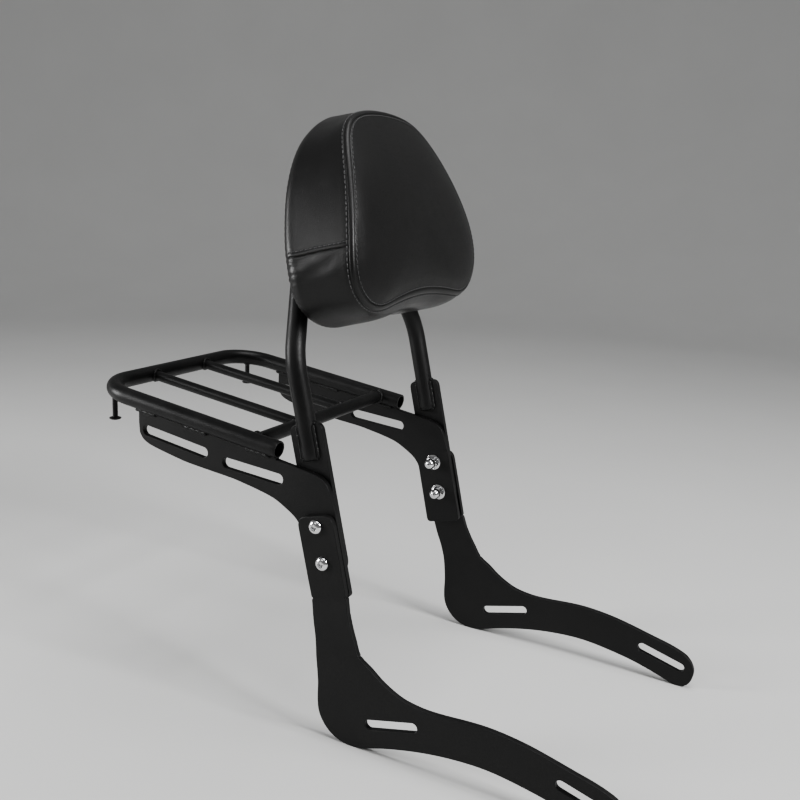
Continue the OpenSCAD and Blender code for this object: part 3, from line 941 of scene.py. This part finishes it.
def profile(u, rows_g, rows_s, rows_p):
    """Base form for arc positions u. Rows: rim, gusset, seam zone, front panel."""
    t = t_of_arc(u)
    M, F = catmull(PM, t), catmull(PF, t)
    M2 = catmull(PM, np.mod(t + 0.01, NP))
    T = M2 - M
    T /= np.linalg.norm(T, axis=1)[:, None]
    # the outline runs clockwise, so this points outward
    N = np.stack([-T[:, 1], T[:, 0]], 1)
    nf = seam_n(F[:, 1])
    RC = np.interp(M[:, 1], BG, BV)
    rc = RC[:, None]
    cen = np.array([0.0, 318.0])
    out = []
    kinds = []

    def put(P2, n, kind):
        out.append(np.concatenate([P2, np.broadcast_to(np.asarray(n, float), (len(P2),))[:, None]], 1))
        kinds.append(kind)

    # rim on the back, from its inner edge outward
    put(M - N * (rc + 6.2), NB + 1.5, "rim")
    put(M - N * (rc + 6.4), NB + 0.9, "rim")
    put(M - N * (rc + 6.0), NB + 0.3, "rim")
    put(M - N * (rc + 5.4), NB, "rim")
    for d in (4.4, 3.4, 2.4, 1.4, 0.5):
        put(M - N * (rc + d), NB, "rim")
    for a in (0, 12, 24, 36, 48, 60, 72, 82, 90):
        q = math.radians(a)
        put(M - N * (rc * (1 - math.sin(q))), NB + RC * (1 - math.cos(q)), "corner")
    n0 = NB + RC
    # fuller towards the front along the bottom
    power = 1.9 + 2.6 * smooth01((285 - M[:, 1]) / 45.0)
    for k in rows_g:
        n = n0 + (nf - n0) * k
        w = np.power(np.clip((k - 0.24) / 0.76, 0, 1), power)[:, None]
        put(M + (F - M) * w, n, "gusset")
    base_last = len(out) - 1
    # seam zone rows are placed by distance from the seam
    last = out[base_last]
    S3 = np.concatenate([F, nf[:, None]], 1)
    back_dir = last - S3
    back_len = np.linalg.norm(back_dir, axis=1)
    back_dir /= back_len[:, None]
    inward = cen - F
    L = np.linalg.norm(inward, axis=1)
    inward /= L[:, None]

    def panel_at(d):
        P2 = F + inward * d[:, None]
        base = seam_n(P2[:, 1])
        dd = d
        crown = 7.0 + 1.6 * smooth01((320 - P2[:, 1]) / 60.0)
        fade = np.exp(-dd / 24.0) * (1 - smooth01(dd / L))
        return np.concatenate([P2, (base + crown * (1 - fade))[:, None]], 1)

    for d in rows_s:
        if d <= 0:
            out.append(S3 + back_dir * np.minimum(-d, back_len * 0.96)[:, None])
        else:
            out.append(panel_at(np.full(len(u), float(d))))
        kinds.append("seam")
    d0 = rows_s[-1]
    for k in rows_p:
        out.append(panel_at(d0 + (L - d0) * k))
        kinds.append("panel")
    return np.array(out), kinds, N  # rows x positions x 3


def to_world(A):
    x, sv, n = A[..., 0], A[..., 1], A[..., 2]
    return np.stack([x - 3.0, -85.5 - sv * SL + n * CL, 137.5 + sv * CL + n * SL], -1) * MM


def inflate():
    """Cloth run on a coarse copy of the pad's skin: the panels puff between the seams. Returns the shift of each coarse point (mm)."""
    un = spread(9.0, 9.0, 0.0)
    rg = np.linspace(0.08, 0.86, 7)
    rs = np.array([-6.0, -3.0, 0.0, 3.0, 6.0, 10.0])
    rp = np.linspace(0.10, 0.97, 11)
    A, kinds, N = profile(un, rg, rs, rp)
    R, C = A.shape[:2]
    verts = [tuple(p) for p in to_world(A).reshape(-1, 3)]
    faces = []
    for i in range(R - 1):
        for j in range(C):
            b = (j + 1) % C
            faces.append((i * C + j, i * C + b, (i + 1) * C + b, (i + 1) * C + j))
    faces.append(tuple(range(C)))
    tip = len(verts)
    verts.append(tuple(to_world(A[-1].mean(0))))
    for j in range(C):
        faces.append(((R - 1) * C + j, (R - 1) * C + (j + 1) % C, tip))
    me = bpy.data.meshes.new("pad_run")
    me.from_pydata(verts, [], faces)
    me.update()
    bm = bmesh.new()
    bm.from_mesh(me)
    bmesh.ops.recalc_face_normals(bm, faces=bm.faces)
    bm.to_mesh(me)
    bm.free()
    ob = bpy.data.objects.new("pad_run", me)
    bpy.context.scene.collection.objects.link(ob)
    g = ob.vertex_groups.new(name="held")
    side_j = [int(np.argmin(np.abs(un - a))) for a in (ARC_R, ARC_L)]
    for i in range(R):
        if kinds[i] in ("rim", "corner"):
            g.add([i * C + j for j in range(C)], 1.0, "REPLACE")
        elif kinds[i] == "seam" and abs(rs[i - kinds.index("seam")]) < 1:
            g.add([i * C + j for j in range(C)], 1.0, "REPLACE")
        elif kinds[i] in ("gusset", "seam"):
            g.add([i * C + j for j in side_j if kinds[i] == "gusset"], 0.9, "REPLACE")
    md = ob.modifiers.new("cloth", "CLOTH")
    st = md.settings
    st.quality = 7
    st.mass = 0.25
    st.tension_stiffness = st.compression_stiffness = 22.0
    st.shear_stiffness = 12.0
    st.bending_stiffness = 0.9
    st.tension_damping = st.compression_damping = 12.0
    st.bending_damping = 1.5
    st.air_damping = 2.0
    st.use_pressure = True
    st.uniform_pressure_force = 4.0
    st.shrink_min = 0.0
    st.vertex_group_mass = "held"
    st.pin_stiffness = 6.0
    st.effector_weights.gravity = 0.0
    md.point_cache.frame_start, md.point_cache.frame_end = 1, 20
    sc = bpy.context.scene
    for f in range(1, 21):
        sc.frame_set(f)
    dg = bpy.context.evaluated_depsgraph_get()
    got = ob.evaluated_get(dg).data
    co = np.array([v.co for v in got.vertices])[: R * C]
    sc.frame_set(1)
    W = co.reshape(R, C, 3) / MM
    # back to the backrest's own frame
    y, z = W[..., 1] + 85.5, W[..., 2] - 137.5
    loc = np.stack([W[..., 0] + 3.0, -y * SL + z * CL, y * CL + z * SL], -1)
    D = loc - A
    ln = np.linalg.norm(D, axis=-1, keepdims=True)
    cap = 4.0
    D = D * np.where(ln > 1e-6, cap * np.tanh(ln / cap) / np.maximum(ln, 1e-6), 1.0)
    bpy.data.objects.remove(ob)
    # the front panel is drawn taut: it swells evenly, by its distance from the seam only
    for i in range(R):
        if kinds[i] == "panel" or (kinds[i] == "seam" and rs[i - kinds.index("seam")] > 0):
            D[i] = np.array([0.0, 0.0, float(D[i, :, 2].mean())])
        elif kinds[i] in ("gusset", "seam"):
            for _ in range(5):
                D[i] = 0.5 * D[i] + 0.25 * (np.roll(D[i], 1, 0) + np.roll(D[i], -1, 0))
            D[i, :, :2] -= 0.9 * N * (math.sin(math.pi * rg[i - kinds.index("gusset")]) if kinds[i] == "gusset" else 0.0)
    print("PAD inflate: most", round(float(ln.max()), 2), "mean", round(float(ln.mean()), 2))
    # row coordinate of each coarse row, to look up later
    return un, kinds, rg, rs, rp, D


def row_keys(kinds, rg, rs, rp):
    """One running coordinate over the rows, the same on coarse and fine grids."""
    keys, counts = [], {"rim": 0, "corner": 0, "gusset": 0, "seam": 0, "panel": 0}
    tot = {k: kinds.count(k) for k in counts}
    for k in kinds:
        i = counts[k]
        counts[k] += 1
        if k == "rim":
            keys.append(0.0 + i / max(tot[k], 1))
        elif k == "corner":
            keys.append(1.0 + i / max(tot[k], 1))
        elif k == "gusset":
            keys.append(2.0 + rg[i])
        elif k == "seam":
            keys.append(3.0 + 0.5 + rs[i] / 40.0)
        else:
            keys.append(4.0 + rp[i])
    return np.array(keys)


def noise_1d(x, seed, wave):
    """Smooth repeatable noise along a line."""
    r = np.random.RandomState(seed)
    n = int(np.ceil(PERIM / wave)) + 1
    v = r.uniform(-1, 1, n)
    v[-1] = v[0]
    q = np.mod(x, PERIM) / PERIM * (n - 1)
    i = np.floor(q).astype(int)
    f = q - i
    f = f * f * (3 - 2 * f)
    return v[i] * (1 - f) + v[np.minimum(i + 1, n - 1)] * f


u = spread(1.9, 0.42, 4.5)
RG = np.linspace(0.035, 0.86, 26)
RS = np.arange(-21, 22) * 0.55
RP = np.concatenate([np.linspace(0.03, 0.9, 28), [0.94, 0.97, 0.985, 0.995]])
A, kinds, NRM = profile(u, RG, RS, RP)
keys = row_keys(kinds, RG, RS, RP)
cu, ck, crg, crs, crp, D = inflate()
ckeys = row_keys(ck, crg, crs, crp)
# periodic in u
cu3 = np.concatenate([cu, [PERIM + cu[0]]])
D3 = np.concatenate([D, D[:, :1]], 1)
Du = np.empty((D.shape[0], len(u), 3))
for k in range(3):
    for i in range(D.shape[0]):
        Du[i, :, k] = np.interp(u, cu3, D3[i, :, k])
# soften the coarse steps round the pad
for _ in range(30):
    Du = 0.5 * Du + 0.25 * (np.roll(Du, 1, 1) + np.roll(Du, -1, 1))
for k in range(3):
    for j in range(len(u)):
        A[:, j, k] += np.interp(keys, ckeys, Du[:, j, k])

i_seam = kinds.index("seam") + int(np.argmin(np.abs(RS)))
# round the sewn front edge
lam = np.zeros(len(kinds))
for i, k in enumerate(kinds):
    if k == "seam":
        lam[i] = 0.5 * smooth01((11.6 - abs(RS[i - kinds.index("seam")])) / 3.0)
for _ in range(60):
    A[1:-1] += lam[1:-1, None, None] * (0.5 * (A[:-2] + A[2:]) - A[1:-1])
# a little smoothing of the gusset's rows
lam2 = np.array([0.3 if k == "gusset" else 0.0 for k in kinds])
for _ in range(6):
    A[1:-1] += lam2[1:-1, None, None] * (0.5 * (A[:-2] + A[2:]) - A[1:-1])


def grid_normals(A):
    """Outward normals of the row grid."""
    du = np.roll(A, -1, 1) - np.roll(A, 1, 1)
    dv = np.empty_like(A)
    dv[1:-1] = A[2:] - A[:-2]
    dv[0], dv[-1] = A[1] - A[0], A[-1] - A[-2]
    n = np.cross(du, dv)
    n /= np.maximum(np.linalg.norm(n, axis=-1, keepdims=True), 1e-9)
    return n


def along_rows(A, i0):
    """Distance of each point from row i0 along the surface (mm), signed: panel side positive."""
    d = np.zeros(A.shape[:2])
    for i in range(i0 + 1, A.shape[0]):
        d[i] = d[i - 1] + np.linalg.norm(A[i] - A[i - 1], axis=-1)
    for i in range(i0 - 1, -1, -1):
        d[i] = d[i + 1] - np.linalg.norm(A[i + 1] - A[i], axis=-1)
    return d


# rows of the seam zone set again at even distances, closest at the grooves
s0 = kinds.index("seam")
s1 = s0 + kinds.count("seam")
D0 = along_rows(A, i_seam)
half = np.array([0.0, 0.6, 1.2, 1.8, 2.3, 2.7, 3.05, 3.4, 3.75, 4.1, 4.5, 4.9, 5.3, 5.8, 6.6, 7.6])
half = half * min(1.0, 0.97 * float(min(-D0[s0].max(), D0[s1 - 1].min())) / 7.6)
want = np.concatenate([-half[:0:-1], half])
mid_rows = np.empty((len(want), A.shape[1], 3))
for j in range(A.shape[1]):
    for k in range(3):
        mid_rows[:, j, k] = np.interp(want, D0[s0 - 1 : s1 + 1, j], A[s0 - 1 : s1 + 1, j, k])
A = np.concatenate([A[:s0], mid_rows, A[s1:]])
kinds = kinds[:s0] + ["seam"] * len(want) + kinds[s1:]
i_seam = s0 + len(half) - 1

Nn = grid_normals(A)
# make sure they point outward: on the gusset they point away from the middle
mid_i = kinds.index("gusset") + 10
if float((Nn[mid_i, :, :2] * NRM).sum(-1).mean()) < 0:
    Nn = -Nn
    FLIP = True
else:
    FLIP = False

dist = along_rows(A, i_seam)
i_back = kinds.index("corner") + 5
from_back = dist - dist[i_back][None, :]

H = np.zeros(A.shape[:2])
ROW_D = 4.9
# a soft raised band over the seam, a stitch row along each side of it and a pressed channel between
wob = 0.2 * noise_1d(u, 3, 37.0)[None, :]
ad = np.abs(dist + wob)
H += 0.7 * np.clip(1 - (ad / 3.4) ** 2, 0, None)
H += -0.55 * np.exp(-((ad - 3.5) / 0.45) ** 2)
stitch_wave = 0.5 + 0.5 * np.cos(2 * math.pi * u / 5.0)[None, :]
H += -(0.16 + 0.10 * stitch_wave) * np.exp(-((ad - ROW_D) / 0.8) ** 2)
# short puckers beside the stitching
pk = noise_1d(u, 11, 5.2)[None, :] * 0.5 + noise_1d(u, 12, 9.0)[None, :] * 0.5
H += 0.16 * pk * np.exp(-np.maximum(np.abs(dist) - ROW_D, 0) / 4.5) * smooth01((np.abs(dist) - 4.0) / 2.0)
# slow unevenness of stuffed vinyl
slow = noise_1d(u, 21, 46.0)[None, :] * np.sin(from_back / 23.0 + 0.7) + noise_1d(u, 22, 70.0)[None, :] * np.cos(dist / 31.0)
H += 0.32 * slow * smooth01(np.abs(dist) / 16.0) * smooth01(from_back / 12.0) * np.where(dist > 0, smooth01((70 - dist) / 50.0) * 0.35, 1.0)

# side seams: the upper panel laps over the lower one, with a stitch row above the lap
win = smooth01((from_back + 6.0) / 6.0) * smooth01((-dist - 2.2) / 3.0)
for a_s, sg in ((ARC_R, 1.0), (ARC_L, -1.0)):
    up_d = (a_s - u) * sg
    tilt = 0.0
    q = up_d[None, :] + tilt + 0.35 * np.sin(from_back / 9.0)
    near = (np.abs(up_d) < 60)[None, :]
    lap = np.where(q > 0, 0.6 * np.exp(-q / 10.0) * smooth01(q / 0.9), -0.55 * np.exp(q / 7.0))
    lap += -0.35 * np.exp(-((q + 0.2) / 0.6) ** 2)
    lap += -0.3 * np.exp(-((q - 4.0) / 0.9) ** 2)
    H += lap * win * near
    # lower panel gathered on the back edge just under the seam
    under = np.where((q < -1.0) & (q > -34), 1.0, 0.0) * smooth01((-q - 1.0) / 4.0) * smooth01((34 + q) / 20.0)
    gather = np.sin(2 * math.pi * (up_d[None, :] + 0.12 * from_back) / 7.4 + 2.2 * noise_1d(u, 31, 17.0)[None, :])
    H += 0.5 * gather * under * np.exp(-np.maximum(from_back, 0) / 9.0) * smooth01((from_back + 9) / 8.0) * smooth01((-dist - 8) / 12.0)
    # a few long soft creases running down from the seam
    crease = np.sin(2 * math.pi * (up_d[None, :] - 0.35 * from_back) / 19.0 + 1.3)
    H += 0.28 * crease * under * smooth01(from_back / 14.0) * smooth01((-dist - 10) / 16.0)

# pleats where the vinyl turns over the back's rounded corners, and a light waviness of the whole turned edge
T1 = t_of_arc(u)
M1 = catmull(PM, T1)
turn = np.abs(np.gradient(np.unwrap(np.arctan2(*(np.roll(M1, -1, 0) - M1).T)), np.append(u, PERIM)[: len(u)]))
for _ in range(40):
    turn = 0.5 * turn + 0.25 * (np.roll(turn, 1) + np.roll(turn, -1))
corner_w = smooth01(turn / 0.028)
back_w = np.exp(-((from_back + 8.0) / 8.5) ** 2)
pleat = np.sin(2 * math.pi * u / 6.1 + 1.6 * noise_1d(u, 41, 23.0))
H += (0.15 + 0.55 * corner_w)[None, :] * pleat[None, :] * back_w
# keep the flat turned edge off the board side
rimmask = np.array([0.25 if k == "rim" else 1.0 for k in kinds])[:, None]
A = A + Nn * (H * rimmask)[..., None]
A[..., 2] = np.maximum(A[..., 2], np.array([NB + 0.02 if k != "rim" else NB + 0.02 for k in kinds])[:, None])

def pad_points(o):
    """An object's vertices in the pad's own axes (mm)."""
    P = np.array([tuple(o.matrix_world @ v.co) for v in o.data.vertices]) / MM
    y, z = P[:, 1] + 85.5, P[:, 2] - 137.5
    return np.stack([P[:, 0] + 3.0, -y * SL + z * CL, y * CL + z * SL], -1)


# the turned edge stops short of the straps
bpy.context.view_layer.update()
n_rim = sum(1 for k in kinds if k == "rim")
keep = np.ones(A.shape[1])
for name in ("pad_strap_lower_eased", "pad_strap_upper_eased"):
    P = pad_points(bpy.data.objects[name])[:, :2]
    lo, hi = P.min(0) - 1.0, P.max(0) + 1.0
    E = A[n_rim, :, :2]
    for q in np.linspace(0.0, 1.0, 41):
        Q = E + q * (A[0, :, :2] - E)
        hit = np.all((Q > lo) & (Q < hi), axis=1)
        keep = np.where(hit, np.minimum(keep, max(q - 0.03, 0.05)), keep)
for fn in (np.min, np.mean):
    keep = fn(np.array([np.roll(keep, k) for k in range(-4, 5)]), axis=0)
for i in range(n_rim):
    A[i, :, :2] = A[n_rim, :, :2] + (A[i, :, :2] - A[n_rim, :, :2]) * keep[:, None]

board_o = bpy.data.objects["pad_board"]
bp = pad_points(board_o)
n_rear, n_front = bp[:, 2].min(), bp[:, 2].max()
A[:n_rim, :, 2] = np.minimum(A[:n_rim, :, 2], n_rear - 0.05)

W = to_world(A)
R_, C_ = W.shape[:2]
verts = [tuple(p) for p in W.reshape(-1, 3)]
faces = []
for i in range(R_ - 1):
    for j in range(C_):
        b = (j + 1) % C_
        f = (i * C_ + j, i * C_ + b, (i + 1) * C_ + b, (i + 1) * C_ + j)
        faces.append(f)
tip = len(verts)
verts.append(tuple(W[-1].mean(0)))
for j in range(C_):
    faces.append(((R_ - 1) * C_ + j, (R_ - 1) * C_ + (j + 1) % C_, tip))
# closed behind, with a pocket that holds the board, its nuts and the screw ends
seg = np.array([(e.vertices[0], e.vertices[1]) for e in board_o.data.edges])
seg = seg[(bp[seg[:, 0], 2] < n_rear + 0.5) & (bp[seg[:, 1], 2] < n_rear + 0.5)]
cen = A[0, :, :2].mean(0)
ray = A[0, :, :2] - cen
r0 = np.linalg.norm(ray, axis=1)
ray = ray / r0[:, None]
p_, e_ = bp[seg[:, 0], :2] - cen, bp[seg[:, 1], :2] - bp[seg[:, 0], :2]
reach = np.zeros(C_)
for j in range(C_):
    den = ray[j, 0] * e_[:, 1] - ray[j, 1] * e_[:, 0]
    ok = np.abs(den) > 1e-9
    r_at = (p_[ok, 0] * e_[ok, 1] - p_[ok, 1] * e_[ok, 0]) / den[ok]
    s_at = (p_[ok, 0] * ray[j, 1] - p_[ok, 1] * ray[j, 0]) / den[ok]
    r_at = r_at[(s_at > -1e-6) & (s_at < 1 + 1e-6)]
    reach[j] = r_at.max()
wall = cen + ray * np.maximum(r0 + 0.2, reach + np.where(A[0, :, 1] > 370, 0.08, 0.3))[:, None]
inner = len(verts)
rings = [(wall, n_rear - 0.05), (wall, n_front + 5.0)]
for xy, nn in rings:
    verts += [tuple(p) for p in to_world(np.concatenate([xy, np.full((C_, 1), nn)], 1))]
starts = [0, inner, inner + C_]
for s0, s1 in zip(starts, starts[1:]):
    for j in range(C_):
        b = (j + 1) % C_
        faces.append((s1 + j, s1 + b, s0 + b, s0 + j))
faces.append(tuple(starts[-1] + j for j in range(C_)))
pad = make("pad_upholstery", verts, faces, VINYL, 75)
bm = bmesh.new()
bm.from_mesh(pad.data)
bmesh.ops.recalc_face_normals(bm, faces=bm.faces)
bm.to_mesh(pad.data)
bm.free()
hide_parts("pad_cover", "pad_foam")

# stitching
Nw = grid_normals(A)
if FLIP:
    Nw = -Nw
threads = Soup()


def along(rowfun, arcs):
    return [rowfun(a) for a in arcs]


def surface_at(a, key_d, rows=None):
    """Point and normal at arc position a and signed distance key_d from the front seam."""
    j = np.searchsorted(u, a % PERIM) - 1
    j0, j1 = j % C_, (j + 1) % C_
    u0, u1 = u[j0], u[j1] if j1 > j0 else u[j1] + PERIM
    f = ((a % PERIM) - u0) / max(u1 - u0, 1e-9)
    f = min(max(f, 0.0), 1.0)
    res = []
    for jj in (j0, j1):
        col = dist[:, jj]
        i = int(np.searchsorted(col, key_d)) - 1
        i = min(max(i, 0), R_ - 2)
        g = (key_d - col[i]) / max(col[i + 1] - col[i], 1e-9)
        res.append((A[i, jj] * (1 - g) + A[i + 1, jj] * g, Nw[i, jj] * (1 - g) + Nw[i + 1, jj] * g))
    p = res[0][0] * (1 - f) + res[1][0] * f
    n = res[0][1] * (1 - f) + res[1][1] * f
    return p, n / np.linalg.norm(n)


def stitch(p0, p1, p2, n, r=0.46):
    """One stitch: a short thread lying between two holes, its ends dipping in."""
    P = [p0 - n * 0.42, p0 * 0.9 + p1 * 0.1 + n * 0.12, p0 * 0.62 + p1 * 0.38 + n * 0.30, p1 + n * 0.36, p2 * 0.62 + p1 * 0.38 + n * 0.30, p2 * 0.9 + p1 * 0.1 + n * 0.12, p2 - n * 0.42]
    pts = [Vector(tuple(q)) for q in to_world(np.array(P))]
    rad = [r * 0.7 * MM, r * 0.95 * MM, r * MM, r * 1.03 * MM, r * MM, r * 0.95 * MM, r * 0.7 * MM]
    threads.grid(sweep_rows(pts, rad, 7), True, True, True)


PITCH = 5.0
n_st = int(PERIM / PITCH)
for row in (-ROW_D, ROW_D):
    for k in range(n_st):
        a0 = (k + 0.17) * PERIM / n_st
        a2 = (k + 0.83) * PERIM / n_st
        p0, n0_ = surface_at(a0, row)
        p1, n1_ = surface_at((a0 + a2) / 2, row)
        p2, n2_ = surface_at(a2, row)
        stitch(p0, p1, p2, n1_)
for a_s, sg in ((ARC_R, 1.0), (ARC_L, -1.0)):
    a_row = a_s - sg * 4.0
    length = abs(float(np.interp(a_row, u, dist[i_back])))
    k = 0
    d = -length + 1.0
    while d < -ROW_D - 3.6:
        p0, n0_ = surface_at(a_row, d)
        p1, n1_ = surface_at(a_row, d + 1.6)
        p2, n2_ = surface_at(a_row, d + 3.2)
        stitch(p0, p1, p2, n1_)
        d += PITCH
threads.make("pad_stitching", THREAD, "vinyl", 60)

# staples that hold the turned edge to the board
staples = Soup()
metal = []
for name in ("backrest_bar_smooth", "pad_strap_lower_eased", "pad_strap_upper_eased"):
    o = bpy.data.objects[name]
    metal.append(BVHTree.FromPolygons([o.matrix_world @ v.co for v in o.data.vertices], [tuple(f.vertices) for f in o.data.polygons]))
k = 0
a = 6.0
while a < PERIM - 4:
    t = t_of_arc(np.array([a]))
    M = catmull(PM, t)[0]
    Mn = catmull(PM, np.mod(t + 0.02, NP))[0]
    T = (Mn - M) / np.linalg.norm(Mn - M)
    N = np.array([-T[1], T[0]])
    c = M - N * (float(np.interp(M[1], BG, BV)) + 3.4)
    leg = 4.8
    pts = []
    for q, dn in ((-leg, 1.0), (-leg, -0.05), (-leg + 0.35, -0.3), (0, -0.34), (leg - 0.35, -0.3), (leg, -0.05), (leg, 1.0)):
        P2 = c + T * q
        pts.append(Vector(tuple(to_world(np.array([P2[0], P2[1], NB + dn])))))
    j = int(np.searchsorted(u, a)) % C_
    clear = min(m.find_nearest(q)[3] for m in metal for q in pts + [(pts[3] + pts[2]) / 2, (pts[3] + pts[4]) / 2])
    if keep[j] > 0.98 and clear > 1.2 * MM:
        staples.grid(sweep_rows(pts, [0.33 * MM] * len(pts), 6), True, True, True)
    a += 15.5
staples.make("cover_staples", STAPLE, "zinc_hardware", 50)

# ---------------------------------------------------------------- stage, light, camera
FZ = -0.0345
# a round studio: flat floor that curves up into a plain wall, no corner anywhere
prof = [(0.0, 0.0), (0.8, 0.0), (1.8, 0.0), (2.6, 0.0)]
for k in range(1, 15):
    q = math.pi / 2 * k / 14
    prof.append((2.6 + 1.7 * math.sin(q), 1.7 * (1 - math.cos(q))))
prof += [(4.3, 2.4), (4.3, 3.2)]
fv, ff = [(0.0, 0.0, FZ)], []
SEGS = 96
for r_, z_ in prof[1:]:
    for k in range(SEGS):
        q = 2 * math.pi * k / SEGS
        fv.append((r_ * math.cos(q), r_ * math.sin(q), FZ + z_))
for k in range(SEGS):
    ff.append((0, 1 + k, 1 + (k + 1) % SEGS))
for i in range(len(prof) - 2):
    for k in range(SEGS):
        a0, b0 = 1 + i * SEGS + k, 1 + i * SEGS + (k + 1) % SEGS
        ff.append((a0, a0 + SEGS, b0 + SEGS, b0))
fl = bpy.data.meshes.new("floor")
fl.from_pydata(fv, [], ff)
for poly in fl.polygons:
    poly.use_smooth = True
floor = bpy.data.objects.new("floor", fl)
bpy.context.scene.collection.objects.link(floor)
fl.materials.append(FLOOR)

world = bpy.data.worlds.new("studio")
bpy.context.scene.world = world
world.use_nodes = True
bg = world.node_tree.nodes["Background"]
bg.inputs[0].default_value = (0.98, 0.99, 1.0, 1)
bg.inputs[1].default_value = 0.22


def area(name, loc, target, size, power, size_y=None, color=(1, 1, 1)):
    d = bpy.data.lights.new(name, "AREA")
    d.shape = "RECTANGLE"
    d.size, d.size_y = size, size_y or size
    d.energy = power
    d.color = color
    o = bpy.data.objects.new(name, d)
    bpy.context.scene.collection.objects.link(o)
    o.location = loc
    o.rotation_mode = "QUATERNION"
    o.rotation_quaternion = (Vector(target) - Vector(loc)).to_track_quat("-Z", "Y")
    o.visible_camera = False
    return o


MIDDLE = (0.0, -0.05, 0.25)
area("overhead", (0.0, 0.25, 2.3), MIDDLE, 1.5, 24, 1.2)
area("front_high", (0.2, 1.7, 1.5), (0.0, -0.1, 0.4), 0.6, 44, 0.45)
area("rear_low", (0.9, -1.55, 0.64), (0.0, -0.15, 0.38), 0.4, 20, 0.7)
area("right_high", (1.9, -0.5, 1.8), MIDDLE, 1.0, 3, 0.8)

cam_data = bpy.data.cameras.new("camera")
cam_data.sensor_width = 36.0
cam_data.sensor_fit = "HORIZONTAL"
cam_data.lens = 942.68 / 800.0 * 36.0
cam_data.clip_start, cam_data.clip_end = 0.01, 60.0
cam = bpy.data.objects.new("camera", cam_data)
bpy.context.scene.collection.objects.link(cam)
yaw, pitch, roll = (math.radians(a) for a in (26.9356, 13.3243, 3.0138))
fw = Vector((-math.cos(pitch) * math.cos(yaw), -math.cos(pitch) * math.sin(yaw), -math.sin(pitch)))
rt0 = fw.cross(Vector((0, 0, 1))).normalized()
up0 = rt0.cross(fw)
rt = rt0 * math.cos(roll) + up0 * math.sin(roll)
up = up0 * math.cos(roll) - rt0 * math.sin(roll)
mat = Matrix((rt, up, -fw)).transposed().to_4x4()
mat.translation = Vector((0.84507, 0.34701, 0.49563))
cam.matrix_world = mat
bpy.context.scene.camera = cam

vs = bpy.context.scene.view_settings
vs.view_transform = "AgX"
vs.look = "AgX - Medium High Contrast"
vs.exposure = 0.0
